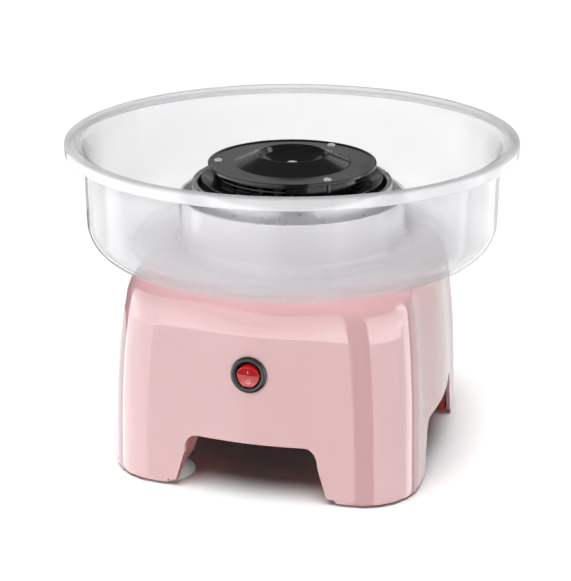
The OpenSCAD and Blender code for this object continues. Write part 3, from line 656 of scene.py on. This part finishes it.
def corner_column(side, degrees):
    """Points up a corner, at an angle from its side."""
    heights = column_heights(FOOT_Z)
    points = [(Vector((*corner_point(side, degrees, z), z)), False) for z in heights]
    return points + shoulder_column(points[-1][0], 0)


def column_heights(foot):
    return [foot + (LOW_TOP - foot) * k / LOW_ROWS for k in range(LOW_ROWS + 1)] + WALL_ROWS


def shoulder_column(crease, middle):
    """Points from the crease in to the platform, middle from 1 at a wall's middle to 0 at its ends."""
    even = CORNER_EVEN_SHARE + MIDDLE_EVEN_EXTRA * middle ** 0.5
    power = CORNER_POWER - MIDDLE_POWER_DROP * middle ** 0.5
    points = []
    for rise in SHOULDER_ROWS:
        share = even * rise + (1 - even) * rise ** power
        flat = Vector(crease[:2])
        flat = flat * (1 - share) + flat.normalized() * PLATFORM_R * share
        points.append((Vector((*flat, CREASE_Z + (PLATFORM_Z - CREASE_Z) * rise)), False))
    return points


def platform_rings():
    """Radius and height of the rings inside the platform's edge, over the drum to the shaft hole."""
    outline = [
        (PLATFORM_R, PLATFORM_Z, 0), (PLATFORM_INNER_R, PLATFORM_Z, 0), (DRUM_R, PLATFORM_Z, 1.2),
        (DRUM_R, DRUM_Z, 1), (SHAFT_HOLE_R, DRUM_Z, 1.2), (SHAFT_HOLE_R, DRUM_Z - SHAFT_HOLE_DEPTH, 0),
    ]
    return rounded(outline, 5, closed=False)[1:]


def shell_sheet():
    """The housing's outer skin as one sheet, from the legs' edges up and in to the shaft hole."""
    columns = []
    whole_side = [-u for u in reversed(ALONG)] + ALONG[1:]
    for side in range(4):
        columns += [wall_column(side, u / HALF_RUN) for u in whole_side[:-1]]
        columns += [corner_column(side, 90 * k / CORNER_STEPS) for k in range(CORNER_STEPS)]
    rings = platform_rings()
    verts, in_hole = [], []
    for points in columns:
        way = Vector(points[-1][0][:2]).normalized()
        for place, hole in points:
            verts.append(place)
            in_hole.append(hole)
        for radius, z in rings:
            verts.append((way.x * radius, way.y * radius, z))
            in_hole.append(False)
    rows = len(columns[0]) + len(rings)
    faces = []
    for k in range(len(columns)):
        here, there = k * rows, ((k + 1) % len(columns)) * rows
        for i in range(rows - 1):
            corners = (here + i, there + i, there + i + 1, here + i + 1)
            if not any(in_hole[c] for c in corners):
                faces.append(corners)
    return verts, drop_hole_faces(verts, faces)


def drop_hole_faces(verts, faces):
    """Removes the faces whose middle lies inside a hole, where a row of the grid crosses it unmarked.

    The radii here are a little under the holes' own, so that the faces round their rims stay.
    """
    switch_r, gland_r = SWITCH_HOLE_R * 0.985, GLAND_HOLE_R * 0.97
    kept = []
    for face in faces:
        middle = sum((Vector(verts[c]) for c in face), Vector()) / 4
        front = middle.y < 0 and math.hypot(middle.x, middle.z - SWITCH_Z) < switch_r
        rear = middle.y > 0 and math.hypot(middle.x, middle.z - GLAND_Z) < gland_r
        in_wall = abs(middle.y) > DRUM_R
        if not (in_wall and (front or rear)):
            kept.append(face)
    return kept


def make_housing():
    verts, faces = shell_sheet()
    mesh = bpy.data.meshes.new("housing_shell")
    mesh.from_pydata([Vector(v) * MM for v in verts], [], faces)
    bm = bmesh.new()
    bm.from_mesh(mesh)
    bmesh.ops.delete(bm, geom=[v for v in bm.verts if not v.link_faces], context="VERTS")
    bmesh.ops.recalc_face_normals(bm, faces=bm.faces)
    outwards = 0
    for face in bm.faces:
        way = Vector((*face.calc_center_median()[:2], 0))
        outwards += face.normal.dot(way) * face.calc_area()
    if outwards < 0:
        bmesh.ops.reverse_faces(bm, faces=bm.faces)
    for face in bm.faces:
        face.smooth = True
    bm.to_mesh(mesh)
    bm.free()
    shell = add_object("housing_shell", mesh, "root", "housing_plastic")
    thicken(shell, SHELL_THICKNESS).use_even_offset = True
    bevel(shell, EDGE_R, 3, 50)
    even_normals(shell)
    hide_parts("housing")


def make_bosses():
    """The hollow towers for the cover's and the pan's screws, with a rib beside each long one."""
    parts = []
    for sx in (-1, 1):
        for sy in (-1, 1):
            x, y = sx * BOSS_XY[0], sy * BOSS_XY[1]
            parts.append(tube_mesh(x, y, FOOT_Z, BOSS_TOP, BOSS_R, BOSS_BORE_R))
            left, right = sorted((sx * RIB_START, sx * RIB_END))
            parts.append(box_mesh((left, y - RIB_HALF, FOOT_Z), (right, y + RIB_HALF, BOSS_TOP)))
    for k in range(4):
        angle = math.radians(45 + 90 * k)
        x, y = PAN_SCREW_R * math.cos(angle), PAN_SCREW_R * math.sin(angle)
        foot, top = DRUM_Z - PAN_BOSS_FOOT, DRUM_Z - PAN_BOSS_TOP
        parts.append(tube_mesh(x, y, foot, top, PAN_BOSS_R, BOSS_BORE_R))
    bosses = add_object("housing_bosses", joined("housing_bosses", parts), "root", "housing_plastic")
    bevel(bosses, 0.2, 2, 40)


def make_bottom_cover():
    """The moulded cover, from its CAD node's own mesh with flat areas merged and edges rounded.

    The plate over the gaps and the faces near the middle are painted shade, near black, and the lips under the
    legs are pink.
    """
    plate_z, shade_r, lip_z = 33 * MM, 80 * MM, 5 * MM
    level = 0.7  # how upright a face's normal is at least, to count as flat
    mesh = NODES["bottom_cover"].data.copy()
    mesh.name = "bottom_cover_moulded"
    mesh.materials.clear()
    bm = bmesh.new()
    bm.from_mesh(mesh)
    bmesh.ops.remove_doubles(bm, verts=bm.verts, dist=1e-6)
    bmesh.ops.dissolve_limit(bm, angle_limit=math.radians(0.6), verts=bm.verts, edges=bm.edges)
    for face in bm.faces:
        face.smooth = True
        face.material_index = 0
    bm.to_mesh(mesh)
    bm.free()
    # Its slot's dark red is the cover's pink with painted shade in it; the lips below get the pink itself.
    cover = add_object("bottom_cover_moulded", mesh, "root", SLOT_OF["bottom_cover"])
    bevel(cover, 0.35, 2, 40)
    even_normals(cover)
    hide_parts("bottom_cover")
    cover.data.materials.append(material("cover_painted_shade"))
    cover.data.materials.append(material("housing_plastic"))
    # Painted shade: the flat plate over the gaps and every face near the middle take the near-black material.
    for face in cover.data.polygons:
        plate_in_shade = face.center.z > plate_z and abs(face.normal.z) > level
        if plate_in_shade or face.center.xy.length < shade_r:
            face.material_index = 1
        elif face.center.z < lip_z:
            face.material_index = 2


# ---- feet


def make_cups():
    for node in [n for n in NODES if n.startswith("suction_cup")]:
        lo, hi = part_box(node)
        x, y = (lo.x + hi.x) / 2 / MM, (lo.y + hi.y) / 2 / MM
        r = (hi.x - lo.x) / 2 / MM
        outline = [
            (0.01, 3, 0), (5, 2.6, 1.5), (r - 3, 0.6, 1), (r - 1.6, 0, 0.4), (r, 0, 0.35), (r, 1.05, 0.45),
            (r - 3.5, 2.4, 2), (8, 5.2, 2), (6, 7, 1), (6, 12, 0.3), (3.5, 12, 0), (3.5, 14, 0),
            (4.6, 14, 0.3), (4.6, 16.5, 0.6), (3, 18.5, 0.8), (0.01, 18.5, 0),
        ]
        mesh = lathe_mesh(node + "_soft", outline, 96, 4, (x, y))
        cup = add_object(node + "_soft", mesh, "root", "cup_rubber")
        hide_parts(node)


# ---- bowl and guard


def make_bowl():
    lo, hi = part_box("bowl")
    rim, top, foot = hi.x / MM, hi.z / MM, lo.z / MM
    side, fillet, wall = 133, 18.5, 2
    collar, collar_top = 73.7, 170.4
    outline = [
        (collar - wall, foot, 0.5), (side, foot, fillet), (side + 0.2, top - 2, 3.2),
        (rim - wall, top - wall, 1.2), (rim - wall, top - 7, 0.7), (rim, top - 7, 0.7), (rim, top, 1.4),
        (rim - 6, top, 2.5), (side - wall + 3.4, top - 2.6, 3), (side - wall, top - 10, 14),
        (side - wall, foot + wall, fillet - wall), (collar, foot + wall, 6.3), (collar, collar_top, 0.9),
        (collar - wall, collar_top, 0.9),
    ]
    lathe("catching_bowl", outline, "bowl", "bowl_plastic", 288, 10, "bowl")


def make_guard():
    lo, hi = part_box("guard_pan")
    r, top, foot = hi.x / MM, hi.z / MM, lo.z / MM
    wall, bead, hole = 1.2, 2, 20
    outline = [
        (hole, foot, 0.3), (r, foot, 3), (r, top - 2 * bead, 0.6), (r, top - bead, 0.9), (r, top, bead),
        (r - 2 * bead, top, bead), (r - 2 * bead, top - 2 * bead, 1.2), (r - wall, top - 2.4 * bead, 0.5),
        (r - wall, foot + wall, 2), (hole, foot + wall, 0.3),
    ]
    lathe("guard_spun", outline, "root", "guard_metal", 256, 8, "guard_pan")


# ---- head


def on_screw_ring(angle):
    angle = math.radians(angle)
    return SCREW_RING_R * math.cos(angle), SCREW_RING_R * math.sin(angle)


def make_dish():
    lo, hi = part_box("head_dish")
    r, top, foot = hi.x / MM, hi.z / MM, lo.z / MM
    wall, flat, hole = 1.5, 38, 4
    outline = [
        (hole, foot, 0), (flat + 0.6, foot, 4), (r - 0.3, top - 1.9, 0.6), (r, top - 1.2, 0.4),
        (r, top, 0.6), (r - 1.3, top, 0.5), (r - wall, top - 0.5, 0.3), (flat, foot + wall, 3),
        (hole, foot + wall, 0),
    ]
    lathe("head_dish_spun", outline, "spinner", "head_black", 256, 6, "head_dish")


def make_slotted_ring():
    """The ring of louvres, in three windows between the posts of the cover's screws."""
    lo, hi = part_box("slotted_ring")
    foot, top = lo.z / MM, hi.z / MM
    heights = [foot]
    for k in range(LOUVRES):
        start = LOUVRE_Z + k * LOUVRE_PITCH
        heights += [start, start + LOUVRE_H]
    heights.append(top)
    post_half = 60 - WINDOW_HALF
    angles = []
    for screw in SCREW_ANGLES:
        window_end = screw + 60 + WINDOW_HALF
        stops = [screw - post_half, screw + post_half, window_end]
        angles += stations(stops, [POST_STEPS, WINDOW_STEPS])[:-1]
    verts = []
    for angle in angles:
        x, y = RING_R * math.cos(math.radians(angle)), RING_R * math.sin(math.radians(angle))
        verts += [(x, y, z) for z in heights]
    rows = len(heights)
    faces = []
    for k in range(len(angles)):
        here, there = k * rows, ((k + 1) % len(angles)) * rows
        in_window = k % (POST_STEPS + WINDOW_STEPS) >= POST_STEPS
        for i in range(rows - 1):
            slot = in_window and i % 2 == 1
            if not slot:
                faces.append((here + i, there + i, there + i + 1, here + i + 1))
    mesh = bpy.data.meshes.new("slotted_ring_sheet")
    mesh.from_pydata([Vector(v) * MM for v in verts], [], faces)
    for face in mesh.polygons:
        face.use_smooth = True
    ring = add_object("slotted_ring_pierced", mesh, "spinner", "head_black")
    thicken(ring, RING_WALL)
    bevel(ring, 0.22, 2, 50)
    even_normals(ring)
    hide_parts("slotted_ring")
    posts = []
    for angle in SCREW_ANGLES:
        x, y = on_screw_ring(angle)
        posts.append(tube_mesh(x, y, LOUVRE_Z, top, 3, 1.5))
    add_object("cover_posts", joined("cover_posts", posts), "spinner", "head_black")


def make_cover():
    """The head's cover: a plate that rises to the funnel's mouth, with three spokes and an eye below."""
    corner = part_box("head_cover")[1]
    r, mouth_z = corner.x / MM, corner.z / MM
    under, top = COVER_TOP - 1.6, COVER_TOP
    hill, mouth, throat = 37.5, 22.3, 11
    spoke_start, spoke_half, spoke_turn = 3.9, 1.5, -30
    spoke_top = 187.6
    spoke_foot = spoke_top - 1.6
    outline = [
        (throat, spoke_top - 2.6, 0.3), (throat + 1.8, spoke_top - 2.6, 0.4),
        (mouth + 0.4, mouth_z - 2.4, 2), (hill - 1.2, under, 2.5), (r, under, 0.5), (r, top + 0.7, 0.45),
        (r - 1.5, top + 0.7, 0.4), (r - 2.1, top, 0.5), (hill, top, 3), (mouth + 1.4, mouth_z - 0.3, 1.2),
        (mouth - 0.2, mouth_z + 0.2, 0.9), (mouth - 2.6, mouth_z - 3.6, 3),
        (throat + 4, spoke_top + 1.6, 5), (throat, spoke_top - 0.4, 1.5),
    ]
    parts = [lathe_mesh("cover_plate", outline, 256, 6)]
    for angle in SCREW_ANGLES:
        lo, hi = (spoke_start, -spoke_half, spoke_foot), (throat + 0.8, spoke_half, spoke_top)
        parts.append(box_mesh(lo, hi, angle + spoke_turn))
    eye = [(4, spoke_foot, 0.2), (5.6, spoke_foot, 0.3), (5.6, spoke_top, 0.3), (4, spoke_top, 0.2)]
    parts.append(lathe_mesh("eye", eye, 64, 3))
    cover = add_object("head_cover_moulded", joined("head_cover_moulded", parts), "spinner", "head_black")
    bevel(cover, 0.3, 2, 60)
    even_normals(cover)
    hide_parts("head_cover")


def make_cover_screws():
    base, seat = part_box("cover_fixings")[0].z / MM, COVER_TOP
    for number, angle in enumerate(SCREW_ANGLES):
        x, y = on_screw_ring(angle)
        outline = [
            (0.01, base, 0), (1.4, base, 0.3), (1.4, seat, 0.1), (2.6, seat, 0.15), (2.6, seat + 0.9, 0.8),
            (1.2, seat + 1.5, 1.5), (0.01, seat + 1.5, 0),
        ]
        mesh = lathe_mesh("screw", outline, 48, 4, (x, y))
        screw = add_object(f"cover_screw_{number + 1}", mesh, "spinner", "bright_steel")
        tools = []
        for turn in (angle, angle + 90):  # the two bars of a cross recess
            place = Matrix.Translation((x * MM, y * MM, 0)) @ Matrix.Rotation(math.radians(turn), 4, "Z")
            bar = box_mesh((-1.5, -0.3, seat + 0.6), (1.5, 0.3, seat + 3))
            bar.transform(place)
            tools.append(new_object("bit", bar))
        cut_away(screw, tools)
        for face in screw.data.polygons:
            face.use_smooth = True
        even_normals(screw)
        if number == 0:
            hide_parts("cover_fixings")


def make_nut():
    """The nut on the shaft's end, and its washer."""
    lo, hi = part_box("head_nut")
    foot, top = lo.z / MM, hi.z / MM
    bore, corner_r, washer_r = 2.02, 3.4, 4.8
    seat = foot + 0.6
    washer_bore = bore + 0.03
    washer_outline = [
        (washer_bore, foot, 0.1), (washer_r, foot, 0.2), (washer_r, seat, 0.2), (washer_bore, seat, 0.1),
    ]
    washer_mesh = lathe_mesh("washer", washer_outline, 64, 5)
    bm = bmesh.new()
    size = {"radius1": corner_r * MM, "radius2": corner_r * MM, "depth": (top - seat) * MM}
    bmesh.ops.create_cone(bm, segments=6, cap_ends=True, **size)
    bm.transform(Matrix.Translation((0, 0, (top + seat) / 2 * MM)))
    nut = add_object("head_nut_hex", mesh_of(bm, "hexagon"), "spinner", "bright_steel")
    hole = [(0.001, foot - 1, 0), (bore, foot - 1, 0), (bore, top + 1, 0), (0.001, top + 1, 0)]
    cut_away(nut, [new_object("hole", lathe_mesh("hole", hole, 48, 1))])
    bevel(nut, 0.3, 2, 35)
    # Painted shade: the washer wears the head's black for the shade deep in the funnel, not the nut's bright
    # steel.
    washer = add_object("head_washer", washer_mesh, "spinner", "head_black")
    even_normals(washer)
    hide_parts("head_nut")


# ---- switch

SWITCH_Y = wall_half(SWITCH_Z) + WALL_CROWN
ON_FRONT_WALL = Matrix.Translation((0, -SWITCH_Y * MM, SWITCH_Z * MM))
IN_SWITCH = ON_FRONT_WALL @ Matrix.Rotation(math.pi / 2 - wall_tilt(SWITCH_Z), 4, "X")
PIVOT_DEPTH = 1.2
THROW = next(j for j in frame["joints"] if j["name"] == "switch_rock")["range_deg"][1]
AT_PIVOT = IN_SWITCH @ Matrix.Translation((0, 0, -PIVOT_DEPTH * MM))
ROCKER_REST = AT_PIVOT @ Matrix.Rotation(math.radians(THROW / 2), 4, "X")


def make_switch_body():
    """The case, made lying on its back: the bezel rises from z = 0 and the barrel goes down."""
    bezel = [
        (8, -9, 0.2), (10, -9, 0), (10, 0, 0), (11.5, 0, 0.25), (11.5, 1.1, 0.7), (10.2, 2.3, 1.2),
        (8.6, 2.0, 0.7), (8, 1.0, 0.4),
    ]
    barrel = [(0.01, -20, 0), (10, -20, 0.6), (10, -9, 0), (0.01, -9, 0)]
    parts = [lathe_mesh("bezel", bezel, 128, 6), lathe_mesh("barrel", barrel, 96, 3)]
    mesh = joined("switch_case", parts)
    mesh.transform(IN_SWITCH)
    case = add_object("switch_case", mesh, "root", "switch_black")
    even_normals(case)
    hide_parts("switch_body")


def rocker_height(y):
    """The rocker's dished top, sloping off past its tips."""
    crest, tip, tip_y, slope = 3, 4.6, 6.6, 3 / 1.4
    if abs(y) > tip_y:
        return tip - (abs(y) - tip_y) * slope
    return crest + (tip - crest) * (y / tip_y) ** 2


def rocker_cap():
    """The rocker's round cap: its dished top, a rounded edge and a short skirt."""
    radius, edge, steps = 7.1, 0.5, 72
    ring_step, ring_count = 0.66, 10
    rings = [(k * ring_step, 0) for k in range(1, ring_count + 1)]
    for degrees in range(15, 91, 15):
        angle = math.radians(degrees)
        rings.append((radius - edge + edge * math.sin(angle), edge * (1 - math.cos(angle))))
    skirt = ((radius, 0.6), (radius, -0.6), (radius - 0.4, -1))
    turns = [2 * math.pi * k / steps for k in range(steps)]
    verts = [(0, 0, rocker_height(0))]
    for r, drop in rings:
        verts += [(r * math.cos(a), r * math.sin(a), rocker_height(r * math.sin(a)) - drop) for a in turns]
    for r, z in skirt:
        verts += [(r * math.cos(a), r * math.sin(a), z) for a in turns]
    faces = [(0, 1 + k, 1 + (k + 1) % steps) for k in range(steps)]
    last_ring = len(rings) + len(skirt) - 1
    for i in range(last_ring):
        here, there = 1 + i * steps, 1 + (i + 1) * steps
        for k in range(steps):
            j = (k + 1) % steps
            faces.append((here + k, there + k, there + j, here + j))
    last = 1 + last_ring * steps
    faces.append(tuple(last + k for k in range(steps)))
    return mesh_from("cap", verts, faces)


def laid_on_rocker(mesh):
    """Lifts a flat mark onto the rocker's dished top, sunk a little way in."""
    sunk = 0.04
    for v in mesh.vertices:
        v.co.z += (rocker_height(v.co.y / MM) - sunk) * MM
    return mesh


def make_rocker():
    keel = box_mesh((-5, -4.4, -2.4), (5, 4.4, -0.9))
    pin_half, pin_r = 9.6, 1.2
    pin = [(0.01, -pin_half, 0), (pin_r, -pin_half, 0.2), (pin_r, pin_half, 0.2), (0.01, pin_half, 0)]
    pins = lathe_mesh("pin", pin, 32, 2)
    pins.transform(Matrix.Rotation(math.pi / 2, 4, "Y"))
    mesh = joined("rocker", [rocker_cap(), keel, pins])
    mesh.transform(ROCKER_REST)
    rocker = add_object("rocker_cap", mesh, "rocker", "rocker_red")
    even_normals(rocker)
    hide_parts("switch_rocker")

    stroke = laid_on_rocker(box_mesh((-0.22, 1.9, 0), (0.22, 4.1, 0.12)))
    inner, outer, height, edge = 0.95, 1.35, 0.12, 0.04
    circle = [(inner, 0, edge), (outer, 0, edge), (outer, height, edge), (inner, height, edge)]
    ring = laid_on_rocker(lathe_mesh("off_mark", circle, 40, 2, (0, -3.6)))
    marks = joined("rocker_marks", [stroke, ring])
    marks.transform(ROCKER_REST)
    white = add_object("rocker_marks", marks, "rocker", "rocker_red")
    white.data.materials.clear()
    white.data.materials.append(material("mark_white"))


# ---- rear gland

GLAND_Y = wall_half(GLAND_Z) + WALL_CROWN
ON_BACK_WALL = Matrix.Translation((0, GLAND_Y * MM, GLAND_Z * MM))
IN_GLAND = ON_BACK_WALL @ Matrix.Rotation(wall_tilt(GLAND_Z) - math.pi / 2, 4, "X")


def make_gland():
    outline = [
        (3.6, -12, 0.3), (6, -12, 0.4), (6, 0, 0), (8.5, 0, 0.3), (8.5, 2.5, 0.5),
        (7, 2.5, 0.2), (5.6, 7.5, 0.6), (3.6, 7.5, 0.4),
    ]
    mesh = lathe_mesh("gland_body", outline, 96, 4)
    mesh.transform(IN_GLAND)
    gland = add_object("gland_body", mesh, "root", "gland_plastic")
    even_normals(gland)
    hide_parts("cord_gland")


# ---- carried-over nodes


def finish_frame_nodes():
    for name, obj in NODES.items():
        obj.data.materials.clear()
        obj.data.materials.append(material(SLOT_OF[name]))


# ---- stage and camera


def make_floor():
    half_width = 6
    bm = bmesh.new()
    bmesh.ops.create_grid(bm, x_segments=1, y_segments=1, size=half_width)
    floor = new_object("floor", mesh_of(bm, "floor"))
    paint = Paint("floor_white", (0.93, 0.93, 0.93), 0.7)
    paint.bsdf.inputs["Specular IOR Level"].default_value = 0.15
    floor.data.materials.append(paint.mat)
    floor.visible_glossy = False


def make_world():
    """White to the camera, and a dim gradient to every other ray."""
    world = bpy.data.worlds.new("studio")
    bpy.context.scene.world = world
    world.use_nodes = True
    tree = world.node_tree
    way = add_node(tree, "ShaderNodeTexCoord").outputs["Generated"]
    height = add_node(tree, "ShaderNodeSeparateXYZ", {"Vector": way}).outputs["Z"]
    inputs = {"Value": height, "From Min": 0.05, "From Max": 0.8, "To Min": 0.06, "To Max": 0.1}
    dim = add_node(tree, "ShaderNodeMapRange", inputs).outputs["Result"]
    seen = add_node(tree, "ShaderNodeLightPath").outputs["Is Camera Ray"]
    inputs = {"Factor": seen, "A": dim, "B": (1, 1, 1, 1)}
    colour = add_node(tree, "ShaderNodeMix", inputs, data_type="RGBA").outputs["Result"]
    tree.links.new(colour, tree.nodes["Background"].inputs["Color"])


def make_camera():
    """The camera, placed by a fit to the photo."""
    data = bpy.data.cameras.new("camera")
    data.lens = 92.93
    data.sensor_width = 36
    data.shift_x = -0.0116
    target = Vector((0, 0, 0.10117))
    azimuth, elevation, distance = math.radians(15.12), math.radians(20.51), 1.0
    level = math.cos(elevation)
    way = Vector((math.sin(azimuth) * level, -math.cos(azimuth) * level, math.sin(elevation)))
    camera = new_object("camera", data)
    camera.location = target + way * distance
    camera.rotation_euler = (-way).to_track_quat("-Z", "Y").to_euler()
    bpy.context.scene.camera = camera


# ---- light

# Upright walls of soft panels: degrees from the front towards +X, and metres from the axis
LEFT_WALL = (-47.5, 1.4)
RIGHT_WALL = (70, 1.3)
PANEL_FOOT = -1.1
PANEL_TOP = 0.85

# The wall and the shoulder mirror the panels below and above these heights, so the crease shows crisply
LEFT_SPLIT = -0.065
RIGHT_SPLIT = 0.03

# Steps of the big panels: (from, to, radiance), along the wall or upwards
LEFT_LOW = ((-2.2, 0.25, 2.8), (0.25, 0.8, 2.0), (0.8, 1.56, 1.6), (1.56, 1.75, 0.8))
LEFT_HIGH = ((LEFT_SPLIT, 0.04, 3.7), (0.04, 0.16, 3.0), (0.16, 0.4, 2.3), (0.4, PANEL_TOP, 1.6))
RIGHT_HIGH = ((RIGHT_SPLIT, 0.2, 3.8), (0.2, 0.45, 2.9), (0.45, PANEL_TOP, 1.9))


def softbox(name, wall, start, end, low, high, radiance):
    """A panel of an upright wall that faces the part, seen in reflections only.

    It spans start to end along the wall, counted towards +X, and low to high, in metres.
    """
    azimuth, distance = wall
    data = bpy.data.lights.new(name, "AREA")
    data.shape = "RECTANGLE"
    data.size, data.size_y = end - start, high - low
    data.energy = radiance * math.pi * data.size * data.size_y
    lamp = new_object(name, data)
    angle = math.radians(azimuth)
    out = Vector((math.sin(angle), -math.cos(angle), 0))
    along = Vector((math.cos(angle), math.sin(angle), 0))
    lamp.location = out * distance + along * (start + end) / 2 + Vector((0, 0, (low + high) / 2))
    lamp.rotation_euler = (-out).to_track_quat("-Z", "Y").to_euler()
    lamp.visible_diffuse = False
    return lamp


def sun(name, way, strength, degrees):
    """A wide sun that shines along a way, kept out of reflections."""
    data = bpy.data.lights.new(name, "SUN")
    data.energy = strength
    data.angle = math.radians(degrees)
    lamp = new_object(name, data)
    lamp.rotation_euler = Vector(way).to_track_quat("-Z", "Y").to_euler()
    lamp.visible_glossy = False
    return lamp


def gathered(name, objects):
    group = bpy.data.collections.new(name)
    for obj in objects:
        group.objects.link(obj)
    return group


def light_only(lamp, lit, shading=None):
    """Limits a lamp to some objects, and its shadows to those of others."""
    lamp.light_linking.receiver_collection = gathered(lamp.name + "_lights", lit)
    if shading:
        lamp.light_linking.blocker_collection = gathered(lamp.name + "_shaded_by", shading)


def make_lights():
    """Panels for the reflections, and suns of their own for the machine, its feet, the bowl and the floor.

    So the translucent bowl throws no hard shadow on the others.
    """
    for k, (start, end, radiance) in enumerate(LEFT_LOW):
        softbox("left_low_%d" % k, LEFT_WALL, start, end, PANEL_FOOT, LEFT_SPLIT, radiance)
    left_start, left_end = LEFT_LOW[0][0], LEFT_LOW[-2][1]  # all but the dim last panel
    for k, (low, high, radiance) in enumerate(LEFT_HIGH):
        softbox("left_high_%d" % k, LEFT_WALL, left_start, left_end, low, high, radiance)
    right_half = 0.87
    softbox("right_low", RIGHT_WALL, -right_half, right_half, PANEL_FOOT, RIGHT_SPLIT, 1.85)
    for k, (low, high, radiance) in enumerate(RIGHT_HIGH):
        softbox("right_high_%d" % k, RIGHT_WALL, -right_half, right_half, low, high, radiance)
    softbox("corner_strip", (112, 1.4), -0.21, 0.21, PANEL_FOOT, 1.2, 3.0)
    softbox("back_right_low", (153, 1.5), -0.75, 0.75, PANEL_FOOT, 0.1, 0.75)
    softbox("back_right_high", (153, 1.5), -0.75, 0.75, 0.1, 1.1, 0.5)
    softbox("back_left", (-150, 1.5), -0.55, 0.55, -0.3, 1.0, 0.3)

    visible = [o for o in bpy.context.scene.objects if o.type == "MESH" and not o.hide_render]
    floor, bowl = bpy.data.objects["floor"], bpy.data.objects["catching_bowl"]
    machine = [o for o in visible if o not in (floor, bowl)]
    cups = [o for o in machine if o.name.startswith("suction_cup")]
    for name, way, strength, degrees, lit, shading in (
        ("overhead", (0, 0.1, -1), 0.9, 60, machine, machine),
        ("key", (0.3, 0.65, -0.75), 1.75, 30, machine, machine),
        ("fill", (-0.8, 0.1, -0.55), 0.9, 40, machine, machine),
        ("feet", (0.1, 0.9, -0.5), 2.8, 30, cups, cups),
        ("bowl_front", (0.03, 0.75, -0.5), 3.0, 20, [bowl], None),
        ("bowl_top", (0, 0, -1), 0.5, 60, [bowl], None),
        ("floor_light", (0.04, 0.22, -1), 3.6, 50, [floor], machine),
    ):
        light_only(sun(name, way, strength, degrees), lit, shading)
    light_only(softbox("back_left_low", (-125, 1.5), -0.7, 0.7, PANEL_FOOT, -0.3, 1.1), machine)
    for name, azimuth in (("bowl_left", -110), ("bowl_right", 138)):
        light_only(softbox(name, (azimuth, 1.4), -0.6, 0.6, PANEL_FOOT, -0.1, 1.7), [bowl])


make_housing()
make_bosses()
make_bottom_cover()
make_cups()
make_bowl()
make_guard()
make_dish()
make_slotted_ring()
make_cover()
make_cover_screws()
make_nut()
make_switch_body()
make_rocker()
make_gland()
finish_frame_nodes()

make_floor()
make_world()
make_camera()
make_lights()

bpy.context.scene.view_settings.view_transform = "Standard"
